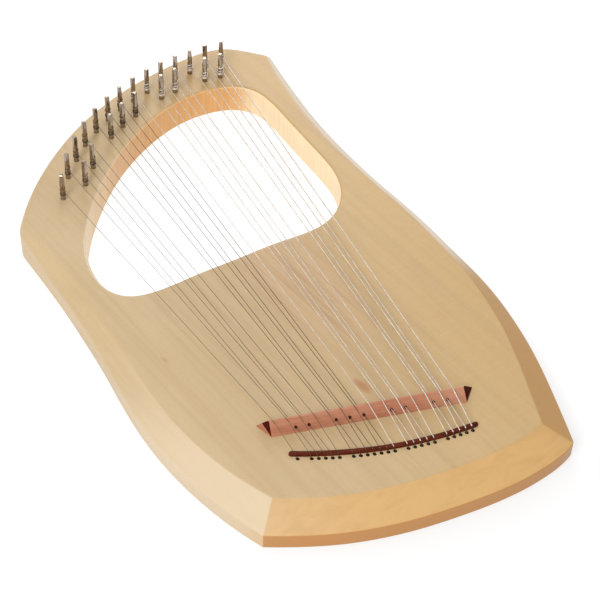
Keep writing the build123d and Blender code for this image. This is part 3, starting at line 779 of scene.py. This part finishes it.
# near-black banded string end: painted shade where the string goes into its hole
STRING_END_SHADE = Nodes("painted_shade_string_end")
dark_bands = STRING_END_SHADE.wave(STRING_END_SHADE.coord, 1800.0, 0.0, 0.0, 1.0, "Z")
STRING_END_SHADE.set(Base_Color=STRING_END_SHADE.mix(dark_bands, (0.022, 0.014, 0.011), (0.050, 0.030, 0.022)), Roughness=0.75)
STRING_END_SHADE.set(Normal=STRING_END_SHADE.bump(dark_bands, 0.2, 0.00005))
BRASS = metal("ball_brass", (0.78, 0.58, 0.26), (0.60, 0.42, 0.17), 0.25, 0.42)

# ---------------------------------------------------------------------------
# The wooden body
# ---------------------------------------------------------------------------
hole_xy = at([s[2] for s in STRINGS])
pin_xy = at([s[1] for s in STRINGS])

wood = Mesh()
ring_ids = [wood.add(r) for r in rings]
for a, b in zip(ring_ids, ring_ids[1:]):
    wood.strip(a, b)
win_ids = [wood.add(r) for r in wrings]
for a, b in zip(win_ids, win_ids[1:]):
    wood.strip(a, b)
top_loops, back_loops, keep_out_top, keep_out_back = [], [], [], []
for cx, cy in hole_xy:
    g = wood.add(circle(cx, cy, 2.15, T, 24))
    e = wood.add(circle(cx, cy, 1.88, T, 24))
    f = wood.add(circle(cx, cy, 1.7, T - 0.22, 24))
    a = wood.add(circle(cx, cy, 1.7, POCKET_Z, 24))
    b = wood.add(circle(cx, cy, 2.45, POCKET_Z, 24))
    c = wood.add(circle(cx, cy, 2.45, 0.12, 24))
    d = wood.add(circle(cx, cy, 2.57, 0.0, 24))
    h = wood.add(circle(cx, cy, 2.74, 0.0, 24))
    for p, q in ((g, e), (e, f), (f, a), (a, b), (b, c), (c, d), (d, h)):
        wood.strip(p, q)
    top_loops.append(g)
    back_loops.append(h)
    keep_out_top.append((cx, cy, 2.15))
    keep_out_back.append((cx, cy, 2.74))
for cx, cy in pin_xy:
    g = wood.add(circle(cx, cy, 3.3, T, 32))
    e = wood.add(circle(cx, cy, 2.85, T, 32))
    f = wood.add(circle(cx, cy, 2.56, T - 0.4, 32))
    a = wood.add(circle(cx, cy, 2.56, T - PIN_IN - 0.15, 32))
    c = wood.add([[cx, cy, T - PIN_IN - 0.6]])[0]
    for p, q in ((g, e), (e, f), (f, a)):
        wood.strip(p, q)
    wood.fan(a, c)
    top_loops.append(g)
    keep_out_top.append((cx, cy, 3.3))


def region(outer_ring, hole_ring, circles):
    def inside(c):
        keep = in_poly(outer_ring[:, :2], c) & ~in_poly(hole_ring[:, :2], c)
        for cx, cy, r in circles:
            keep &= (c[:, 0] - cx)**2 + (c[:, 1] - cy)**2 > (r * 0.9893)**2
        return keep
    return inside


wood.flat([ring_ids[0], win_ids[0]] + top_loops, region(rings[0], wrings[0], keep_out_top))
wood.flat([ring_ids[-1], win_ids[-1]] + back_loops, region(rings[-1], wrings[-1], keep_out_back))
wood_me = wood.build("wood_body_mesh")

# the hollow of the sound box, round the tail block
cav = Mesh()
cl = np.vstack([spline(cavity_left, 4.0)[:-1], spline(cavity_bottom, 4.0)[:-1],
                spline(cavity_right, 4.0),
                [(RAIL_HALF, JOINT_Y), (-RAIL_HALF, JOINT_Y)]])
cl = at(cl)
tb = at(tail_block)
lo = cav.add(np.column_stack([cl, np.full(len(cl), 4.0)]))
hi = cav.add(np.column_stack([cl, np.full(len(cl), T - 4.0)]))
tlo = cav.add(np.column_stack([tb, np.full(len(tb), 4.0)]))
thi = cav.add(np.column_stack([tb, np.full(len(tb), T - 4.0)]))
cav.strip(lo, hi)
cav.strip(tlo, thi)
for a, b in ((lo, tlo), (hi, thi)):
    cav.flat([a, b], lambda c: in_poly(cl, c) & ~in_poly(tb, c))
cav_me = cav.build("chamber", flip=True, smooth=False)
bm = bmesh.new()
bm.from_mesh(wood_me)
bm.from_mesh(cav_me)
bm.to_mesh(wood_me)
bm.free()
finish_mesh(wood_me, True, 35.0)
wood_body = place("wood_body", wood_me, "lyre_body", WOOD,
                  ("pin_block", "treble_arm", "bass_arm", "window_rail", "soundboard",
                   "back_plate", "treble_rim", "tail_rim", "bass_rim", "tail_block"))
# near-black for the walls of the string holes: painted shade inside the holes
BORE_SHADE = Nodes("painted_shade_bore")
bore_speckle = BORE_SHADE.noise(BORE_SHADE.coord, 1500.0, 2.0, 0.5)
BORE_SHADE.set(Base_Color=BORE_SHADE.mix(bore_speckle, (0.020, 0.012, 0.008), (0.050, 0.030, 0.018)), Roughness=0.8)
wood_me.materials.append(BORE_SHADE.mat)
# the window's wall takes the paler wall maple: painted light
wood_me.materials.append(WALL)
win_line = np.asarray(wrings[len(wrings) // 2])[:, :2] * MM
centres = hole_xy * MM
for p in wood_me.polygons:                  # painted shade: the string holes' walls are made near black
    c = p.center
    if 0.0005 < c.z < T * MM - 0.0001 and abs(p.normal.z) < 0.5:
        if np.min(np.hypot(centres[:, 0] - c.x, centres[:, 1] - c.y)) < 0.0026:
            p.material_index = 1
    if abs(p.normal.z) < 0.72 and abs(c.x) < 0.150 and c.y > -0.05:
        if np.min(np.hypot(win_line[:, 0] - c.x, win_line[:, 1] - c.y)) < 0.0045:
            p.material_index = 2
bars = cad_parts["soundboard_bars"]
bars.data.materials.clear()
bars.data.materials.append(SPRUCE)


# ---------------------------------------------------------------------------
# Tubes along a path, for the strings and their turns on the pins
# ---------------------------------------------------------------------------
def round_path(pts, radius, n=6):
    pts = [np.asarray(p, float) for p in pts]
    out = [pts[0]]
    for a, b, c in zip(pts, pts[1:], pts[2:]):
        u, v = b - a, c - b
        lu, lv = np.linalg.norm(u), np.linalg.norm(v)
        u, v = u / lu, v / lv
        phi = math.acos(max(-1.0, min(1.0, float(u @ v))))
        if phi < 0.01:
            out.append(b)
            continue
        cut = min(radius * math.tan(phi / 2), lu * 0.48, lv * 0.48)
        p0, p1 = b - u * cut, b + v * cut
        for k in range(n + 1):
            t = k / n
            out.append((1 - t)**2 * p0 + 2 * (1 - t) * t * b + t * t * p1)
    out.append(pts[-1])
    return np.array(out)


def tube(mesh, path, r, sides=10, closed=False, cap=True):
    P = np.asarray(path, float)
    n = len(P)
    if closed:
        tan = np.roll(P, -1, axis=0) - np.roll(P, 1, axis=0)
    else:
        seg = np.diff(P, axis=0)
        seg /= np.linalg.norm(seg, axis=1)[:, None]
        tan = np.vstack([seg[:1], seg[:-1] + seg[1:], seg[-1:]])
    tan /= np.linalg.norm(tan, axis=1)[:, None]
    ref = np.array([0, 0, 1.0]) if abs(tan[0][2]) < 0.9 else np.array([1.0, 0, 0])
    u = np.cross(tan[0], ref)
    u /= np.linalg.norm(u)
    ids = []
    a = np.linspace(0, 2 * math.pi, sides, endpoint=False)
    for k in range(n):
        u = u - tan[k] * (u @ tan[k])
        u /= np.linalg.norm(u)
        w = np.cross(tan[k], u)
        ids.append(mesh.add(P[k] + r * (np.cos(a)[:, None] * u + np.sin(a)[:, None] * w)))
    for p, q in zip(ids, ids[1:]):
        mesh.strip(p, q)
    if closed:
        mesh.strip(ids[-1], ids[0])
    elif cap:
        for idr, pt, sgn in ((ids[0], P[0], -1), (ids[-1], P[-1], 1)):
            tip = mesh.add([pt + tan[0 if sgn < 0 else -1] * sgn * r * 0.35])[0]
            mesh.fan(idr, tip)
    return ids


def string_path(pin, hole, r, over):
    px, py = at(pin)
    hx, hy = at(hole)
    start = np.array([px + PIN_D / 2 + r + 0.02, py])
    d = np.array([hx, hy]) - start
    u = d / np.linalg.norm(d)

    def back(s, z):
        return (hx - u[0] * s, hy - u[1] * s, T + z)

    def cross(across):
        b = bridge_point(0, across)[:2]
        det = d[0] * (-BD[1]) - d[1] * (-BD[0])
        t = ((b[0] - start[0]) * (-BD[1]) - (b[1] - start[1]) * (-BD[0])) / det
        return start + t * d

    pts = [(start[0], start[1], T + COIL_Z)]
    if over:
        c, e = cross(BRIDGE_W / 2 + 0.95), cross(BRIDGE_W / 2 - 0.95)
        top = T + BRIDGE_H + r - 0.22
        pts += [(c[0], c[1], top), (e[0], e[1], top)]
    else:
        c = cross(BRIDGE_W / 2)
        pts += [(c[0], c[1], T + 5.0)]
    pts += [back(RIB_SET + 1.0 + 0.3 * r, RIB_H + r + 0.03),
            back(RIB_SET - 1.0 - 0.45 * r, RIB_H + r + 0.03),
            back(RIB_SET - 2.55 - r, 0.8 + r), (hx, hy, T - 0.8), (hx, hy, POCKET_Z - 0.6)]
    return [np.array(p, float) for p in pts]


paths = {}
for name, pin, hole, r, over in STRINGS:
    raw = string_path(pin, hole, r, over)
    paths[name] = raw
    smooth_path = round_path(raw, 1.6, 5)
    me = Mesh()
    tube(me, smooth_path, r, 10)
    plain = name in PLAIN
    run = place("string_run_" + name, me.build("string_run_" + name, sharp=50),
                "lyre_body", STEEL if plain else WOUND,
                ("string_" + name,))
    run.data.materials.append(STRING_END_SHADE.mat)
    hx, hy = at(hole)
    for p in run.data.polygons:             # painted shade: the string is made near black where it goes into its hole
        if math.hypot(p.center.x - hx * MM, p.center.y - hy * MM) < 2.2 * MM:
            p.material_index = 1


# ---------------------------------------------------------------------------
# Tuning pins
# ---------------------------------------------------------------------------
def lathe(mesh, profile, n=40, z_dir=1):
    ids = []
    for rr, z in profile:
        ids.append(mesh.add(circle(0, 0, rr, z, n)))
    for a, b in zip(ids, ids[1:]):
        mesh.strip(a, b)
    c0 = mesh.add([[0, 0, profile[0][1]]])[0]
    c1 = mesh.add([[0, 0, profile[-1][1]]])[0]
    mesh.fan(ids[0], c0)
    mesh.fan(ids[-1], c1)


R = PIN_D / 2
z_low, z_top = T - PIN_IN, T + PIN_UP
prof = [(R - 0.7, z_low), (R - 0.25, z_low + 0.5)]
z = z_low + 1.0
while z < T - 3.0:                          # the fine thread in the wood
    prof += [(R - 0.20, z), (R - 0.02, z + 0.30)]
    z += 0.62
prof += [(R - 0.02, T - 2.2), (R - 0.02, T + 4), (R - 0.02, T + 10), (R - 0.02, z_top - PIN_SQUARE + 0.2),
         (R - 0.02, z_top - 6), (R - 0.02, z_top)]
pm = Mesh()
lathe(pm, prof, 48)
pin_me = pm.build("pin_blank")
bm = bmesh.new()
bm.from_mesh(pin_me)
for k in range(4):                          # the tapered square
    ang = math.pi / 2 * k
    out = Vector((math.cos(ang), math.sin(ang), 0))
    drop = R - PIN_FLAT_TOP / 2
    nrm = Vector((out.x * PIN_SQUARE, out.y * PIN_SQUARE, drop)).normalized()
    co = Vector((out.x * R, out.y * R, z_top - PIN_SQUARE)) * MM
    geom = bm.verts[:] + bm.edges[:] + bm.faces[:]
    cut = bmesh.ops.bisect_plane(bm, geom=geom, plane_co=co, plane_no=nrm, clear_outer=True)
    edges = [g for g in cut["geom_cut"] if isinstance(g, bmesh.types.BMEdge)]
    bmesh.ops.edgenet_fill(bm, edges=edges)
for k in range(4):                          # the top's small chamfer
    ang = math.pi / 2 * k
    nrm = Vector((math.cos(ang), math.sin(ang), 1.0)).normalized()
    co = Vector((math.cos(ang) * (PIN_FLAT_TOP / 2 - 0.35), math.sin(ang) * (PIN_FLAT_TOP / 2 - 0.35), z_top)) * MM
    geom = bm.verts[:] + bm.edges[:] + bm.faces[:]
    cut = bmesh.ops.bisect_plane(bm, geom=geom, plane_co=co, plane_no=nrm, clear_outer=True)
    edges = [g for g in cut["geom_cut"] if isinstance(g, bmesh.types.BMEdge)]
    bmesh.ops.edgenet_fill(bm, edges=edges)
bmesh.ops.remove_doubles(bm, verts=bm.verts, dist=1e-6)
bmesh.ops.recalc_face_normals(bm, faces=bm.faces)
bm.to_mesh(pin_me)
bm.free()


def boolean(base_me, cutter_me, name):
    a = bpy.data.objects.new("tmp_a", base_me)
    b = bpy.data.objects.new("tmp_b", cutter_me)
    for o in (a, b):
        bpy.context.scene.collection.objects.link(o)
    mod = a.modifiers.new("cut", "BOOLEAN")
    mod.operation, mod.solver, mod.object, mod.use_self = "DIFFERENCE", "EXACT", b, True
    bpy.context.view_layer.update()
    dg = bpy.context.evaluated_depsgraph_get()
    me = bpy.data.meshes.new_from_object(a.evaluated_get(dg))
    me.name = name
    for o in (a, b):
        bpy.data.objects.remove(o)
    return me


def modified(me, name, setup):
    a = bpy.data.objects.new("tmp_m", me)
    bpy.context.scene.collection.objects.link(a)
    setup(a)
    bpy.context.view_layer.update()
    dg = bpy.context.evaluated_depsgraph_get()
    out = bpy.data.meshes.new_from_object(a.evaluated_get(dg))
    out.name = name
    bpy.data.objects.remove(a)
    return out


z_hole = z_top - PIN_SQUARE - 1.8
cm = Mesh()
tube(cm, [(-4, 0, z_hole), (4, 0, z_hole)], 0.8, 20)
pin_me = boolean(pin_me, cm.build("pin_hole_cutter"), "tuning_pin_mesh")
finish_mesh(pin_me, True, 24.0)
pin_me.materials.clear()
pin_me.materials.append(NICKEL)

TURN = {}
for idx, (name, pin, hole, r, over) in enumerate(STRINGS):
    px, py = at(pin)
    phi = random.uniform(0, math.pi)
    TURN[name] = phi
    ob = bpy.data.objects.new("pin_steel_" + name, pin_me)
    bpy.context.scene.collection.objects.link(ob)
    ob.location = (px * MM, py * MM, 0)
    ob.rotation_euler = (0, 0, phi)
    bpy.context.view_layer.update()
    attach(ob, "pin_" + name)
    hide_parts("tuning_pin_" + name)

    # the string's turns: through the hole, down the pin, and once round at the foot
    me = Mesh()
    Rw = R + r + 0.0
    pitch = 2 * r + 0.10
    tight = 3 if name in PLAIN else 2
    z_c = T + COIL_Z + pitch * tight
    turns_up = 1.0 + random.uniform(0.2, 0.7)
    total = phi + 2 * math.pi * math.ceil(tight + turns_up)
    pts = [np.array([-(R + 1.3) * math.cos(phi), -(R + 1.3) * math.sin(phi), z_hole - 0.1]),
           np.array([(R + 0.15) * math.cos(phi), (R + 0.15) * math.sin(phi), z_hole])]
    start_th = total
    n_h = int((start_th / (2 * math.pi)) * 22)
    helix = []
    for k in range(n_h + 1):
        th = start_th * (1 - k / n_h) - 0.35 * (1 - k / n_h)
        down = th / (2 * math.pi)
        if down <= tight:
            zz = T + COIL_Z + pitch * down
        else:
            f = (down - tight) / ((start_th - 0.35) / (2 * math.pi) - tight)
            zz = z_c + (z_hole - 0.5 - z_c) * f ** 1.25
        helix.append(np.array([Rw * math.cos(th), Rw * math.sin(th), zz]))
    line = round_path(pts + helix[:1], 0.5, 4)
    line = np.vstack([line[:-1], helix])
    tube(me, line + np.array([px, py, 0]), r, 8)
    foot = [np.array([px + Rw * math.cos(a), py + Rw * math.sin(a), T + COIL_Z])
            for a in np.linspace(0, 2 * math.pi, 28, endpoint=False)]
    tube(me, foot, r * 0.98, 8, closed=True)
    plain = name in PLAIN
    place("string_turns_" + name, me.build("string_turns_" + name, sharp=50),
          "pin_" + name, STEEL if plain else WOUND)


# ---------------------------------------------------------------------------
# Bridge
# ---------------------------------------------------------------------------
def rounded_polygon(pts, radii, n=5):
    out = []
    m = len(pts)
    for k in range(m):
        a, b, c = (np.array(pts[(k + q) % m], float) for q in (-1, 0, 1))
        rr = radii[k]
        if rr <= 0:
            out.append(b)
            continue
        u, v = (a - b) / np.linalg.norm(a - b), (c - b) / np.linalg.norm(c - b)
        half = math.acos(max(-1, min(1, float(u @ v)))) / 2
        cut = min(rr / math.tan(half), np.linalg.norm(a - b) * 0.45, np.linalg.norm(c - b) * 0.45)
        p0, p1 = b + u * cut, b + v * cut
        for q in range(n + 1):
            t = q / n
            out.append((1 - t)**2 * p0 + 2 * (1 - t) * t * b + t * t * p1)
    return out


sec = rounded_polygon(
    [(0, 0), (BRIDGE_W / 2 - 0.8, BRIDGE_H), (BRIDGE_W / 2 + 0.8, BRIDGE_H), (BRIDGE_W, 0)],
    [0.35, 0.7, 0.7, 0.35])
br = Mesh()
cuts = [-34.0] + list(np.linspace(2, blen - 2, 24)) + [blen + 34.0]
ids = [br.add([bridge_point(x, p[0], p[1]) for p in sec]) for x in cuts]
for a, b in zip(ids, ids[1:]):
    br.strip(a, b)
br.f.append(tuple(ids[0][::-1]))
br.f.append(tuple(ids[-1]))
br_me = br.build("bridge_blank")
bm = bmesh.new()
bm.from_mesh(br_me)
bridge_ends = []
for end, sgn in ((0.0, -1.0), (blen, 1.0)):
    f0 = Vector(bridge_point(end, 0, 0))
    f1 = Vector(bridge_point(end - 1.3 if sgn < 0 else end - 1.6, BRIDGE_W / 2, BRIDGE_H))
    f2 = Vector(bridge_point(end + sgn * 10.0, BRIDGE_W, 0))
    nrm = (f1 - f0).cross(f2 - f0).normalized()
    if nrm.dot(Vector((BD[0], BD[1], 0))) * sgn < 0:
        nrm = -nrm
    geom = bm.verts[:] + bm.edges[:] + bm.faces[:]
    cut = bmesh.ops.bisect_plane(bm, geom=geom, plane_co=f1 * MM, plane_no=nrm, clear_outer=True)
    edges = [g for g in cut["geom_cut"] if isinstance(g, bmesh.types.BMEdge)]
    bmesh.ops.edgenet_fill(bm, edges=edges)
    # a line across the end face, from the front foot up to the back edge
    mid = f1 + (f2 - f1) * 0.50
    side = nrm.cross(mid - f0).normalized()
    if side.dot(f1 - f0) < 0:
        side = -side
    bm.normal_update()
    flat_end = [f for f in bm.faces if abs(f.normal.dot(nrm)) > 0.995
                and abs((f.calc_center_median() - f1 * MM).dot(nrm)) < 1e-5]
    if sgn < 0:
        part = set(flat_end)
        for f in flat_end:
            part.update(f.edges)
            part.update(f.verts)
        bmesh.ops.bisect_plane(bm, geom=list(part), plane_co=f0 * MM, plane_no=side)
    bridge_ends.append((f0 * MM, f1 * MM, nrm, side, sgn > 0))
bmesh.ops.recalc_face_normals(bm, faces=bm.faces)
bm.to_mesh(br_me)
bm.free()
cutter = Mesh()
for name, pin, hole, r, over in STRINGS:
    raw = paths[name]
    if over:
        c, e = raw[1], raw[2]
        d = (e - c) / np.linalg.norm(e - c)
        tube(cutter, [c - d * 3.0, e + d * 3.0], r + 0.04, 12)
    else:
        tube(cutter, [raw[1] + (raw[0] - raw[1]) / np.linalg.norm(raw[0] - raw[1]) * 14,
                      raw[1], raw[1] + (raw[2] - raw[1]) / np.linalg.norm(raw[2] - raw[1]) * 14],
             1.35, 20)
br_me = boolean(br_me, cutter.build("bridge_cutter"), "bridge_mesh")


def soften_bridge(o):
    b = o.modifiers.new("edge", "BEVEL")
    b.width, b.segments, b.limit_method, b.angle_limit = 0.00022, 2, "ANGLE", math.radians(42)
    b.use_clamp_overlap = True


br_me = modified(br_me, "bridge_mesh", soften_bridge)
finish_mesh(br_me, True, 30.0)
place("bridge_wood", br_me, "lyre_body", CHERRY, ("bridge",))
br_me.materials.append(BRIDGE_SHADE)
for p in br_me.polygons:                    # painted shade: the end faces are made near black, standing for the shadowed hollow at each end
    for f0, f1, nrm, side, whole in bridge_ends:
        if p.normal.dot(nrm) > 0.985 and abs((p.center - f1).dot(nrm)) < 0.0004:
            if whole or (p.center - f0).dot(side) > 0:
                p.material_index = 1
for name, pin, hole, r, over in STRINGS:    # and the string bores through the bridge get the same painted shade
    if over:
        continue
    mid = Vector(paths[name][1]) * MM
    axis = Vector(paths[name][0] - paths[name][2]).normalized()
    for p in br_me.polygons:
        away = p.center - mid
        off = (away - axis * away.dot(axis)).length
        if off < 0.0020 and abs(p.normal.dot(axis)) < 0.45 and away.length < 0.012:
            p.material_index = 1

# ---------------------------------------------------------------------------
# The rib that the strings bend over
# ---------------------------------------------------------------------------
steps = sorted(TAIL_PTS)
centre = np.array([TAIL_PTS[k] for k in steps])
line = []
for j in range(len(centre)):
    a, b = centre[max(0, j - 1)], centre[min(len(centre) - 1, j + 1)]
    t = (b - a) / np.linalg.norm(b - a)
    line.append(centre[j] + np.array([-t[1], t[0]]) * RIB_SET)
first = line[0] + np.array([-7.6 * 0.86, 7.6 * 0.51])
last = line[-1] + np.array([7.2 * 0.99, -7.2 * 0.10])
key = [first] + line[::3] + [last]
rib = spline(at(key), 0.5)
rs = arclen(rib)
Lr = rs[-1]
stations = np.concatenate([[0.02, 0.12, 0.3, 0.6, 1.0, 1.5, 2.1], np.linspace(3.0, Lr - 3.0, 70),
                           Lr - np.array([2.1, 1.5, 1.0, 0.6, 0.3, 0.12, 0.02])])
c = sample(rib, rs, stations)
tg = sample(tangents(rib), rs, stations)
tg /= np.linalg.norm(tg, axis=1)[:, None]
nn = np.column_stack([-tg[:, 1], tg[:, 0]])
rm = Mesh()
ids = []
for k in range(len(stations)):
    e = min(stations[k], Lr - stations[k]) / (RIB_W / 2)
    f = math.sqrt(max(0.0, 1 - max(0.0, 1 - e)**2))
    hw, hh = RIB_W / 2 * f, RIB_H * (0.25 + 0.75 * f ** 0.7)
    pts = []
    for q in range(13):
        a = math.pi * q / 12
        y, zz = math.cos(a), math.sin(a)
        y = math.copysign(abs(y) ** 0.85, y)
        zz = zz ** 0.72 if zz > 1e-9 else 0.0
        pts.append([*(c[k] + nn[k] * hw * y), T + max(hh * zz, 0.0)])
    ids.append(rm.add(pts))
for a, b in zip(ids, ids[1:]):
    rm.strip(a, b)
rm.f.append(tuple(ids[0][::-1]))
rm.f.append(tuple(ids[-1]))
place("string_rib_wood", rm.build("string_rib_wood", sharp=50), "lyre_body", ROSE,
      ("string_rib",))

# ---------------------------------------------------------------------------
# Ball ends in their pockets at the back
# ---------------------------------------------------------------------------
bb = Mesh()
zb, zt = POCKET_Z - BALL_L, POCKET_Z
rb = BALL_D / 2
prof = [(0.55, zb), (rb - 0.45, zb), (rb, zb + 0.45), (rb, zb + 0.95), (rb - 0.55, zb + 1.35),
        (rb - 0.55, zt - 1.35), (rb, zt - 0.95), (rb, zt - 0.45), (rb - 0.45, zt), (0.55, zt)]
for cx, cy in hole_xy:
    ids = [bb.add(circle(cx, cy, rr, z, 24)) for rr, z in prof]
    for a, b in zip(ids, ids[1:]):
        bb.strip(a, b)
    c0 = bb.add(circle(cx, cy, 0.5, zb + 0.5, 24))
    cc = bb.add([[cx, cy, zb + 0.8]])[0]
    bb.strip(ids[0], c0)
    bb.fan(c0, cc)
    c1 = bb.add([[cx, cy, zt]])[0]
    bb.fan(ids[-1], c1)
place("ball_ends", bb.build("ball_ends", sharp=35), "lyre_body", BRASS,
      ("string_ball_ends",))

# ---------------------------------------------------------------------------
# Floor, light and camera
# ---------------------------------------------------------------------------
fm = Nodes("floor_white")
fm.set(Base_Color=(0.30, 0.30, 0.30), Roughness=0.9, Specular_IOR_Level=0.2)
glow = fm.ramp(fm.xyz(fm.coord)[1], -0.36, 0.02, 0.62, 0.78)
fm.put(fm.bsdf.inputs["Emission Color"], (1.0, 1.0, 1.0))
fm.put(fm.bsdf.inputs["Emission Strength"], glow)
me = bpy.data.meshes.new("floor")
me.from_pydata([(-9, -9, -0.0003), (9, -9, -0.0003), (9, 9, -0.0003), (-9, 9, -0.0003)], [],
               [(0, 1, 2, 3)])
me.materials.append(fm.mat)
floor = bpy.data.objects.new("floor", me)
bpy.context.scene.collection.objects.link(floor)

scene = bpy.context.scene
world = bpy.data.worlds.new("studio")
scene.world = world
world.use_nodes = True
wt_ = world.node_tree
bg = wt_.nodes["Background"]
bg.inputs[0].default_value = (1, 1, 1, 1)
bg.inputs[1].default_value = 0.72


def area(name, loc, target, size, power, colour=(1, 1, 1)):
    li = bpy.data.lights.new(name, "AREA")
    li.shape = "DISK"
    li.size = size
    li.energy = power
    li.color = colour
    ob = bpy.data.objects.new(name, li)
    scene.collection.objects.link(ob)
    ob.location = loc
    ob.rotation_mode = "QUATERNION"
    ob.rotation_quaternion = (Vector(target) - Vector(loc)).to_track_quat("-Z", "Y")
    return ob


area("key_left", (-1.8, -1.0, 1.8), (0, 0, 0), 1.4, 46.0)
area("back_soft", (0.95, 1.45, 1.0), (0.10, 0.15, 0), 1.0, 8.0)
area("top_soft", (0.0, 0.6, 2.7), (0, 0, 0), 2.2, 11.0)

cam_data = bpy.data.cameras.new("camera")
cam_data.lens, cam_data.sensor_width = 96.0, 36.0
cam_data.clip_start, cam_data.clip_end = 0.05, 50
cam = bpy.data.objects.new("camera", cam_data)
scene.collection.objects.link(cam)
ax_r = Vector((0.8575023158, -0.5134195488, 0.0330173477))
ax_u = Vector((0.3467523040, 0.6241627898, 0.7001311674))
ax_w = Vector((0.3800692279, 0.5889152560, -0.7132504492))
cam.matrix_world = Matrix(((ax_r.x, ax_u.x, -ax_w.x, -0.5453670),
                           (ax_r.y, ax_u.y, -ax_w.y, -0.9170231),
                           (ax_r.z, ax_u.z, -ax_w.z, 1.0742663),
                           (0, 0, 0, 1)))
scene.camera = cam
scene.view_settings.view_transform = "Standard"
scene.view_settings.look = "None"
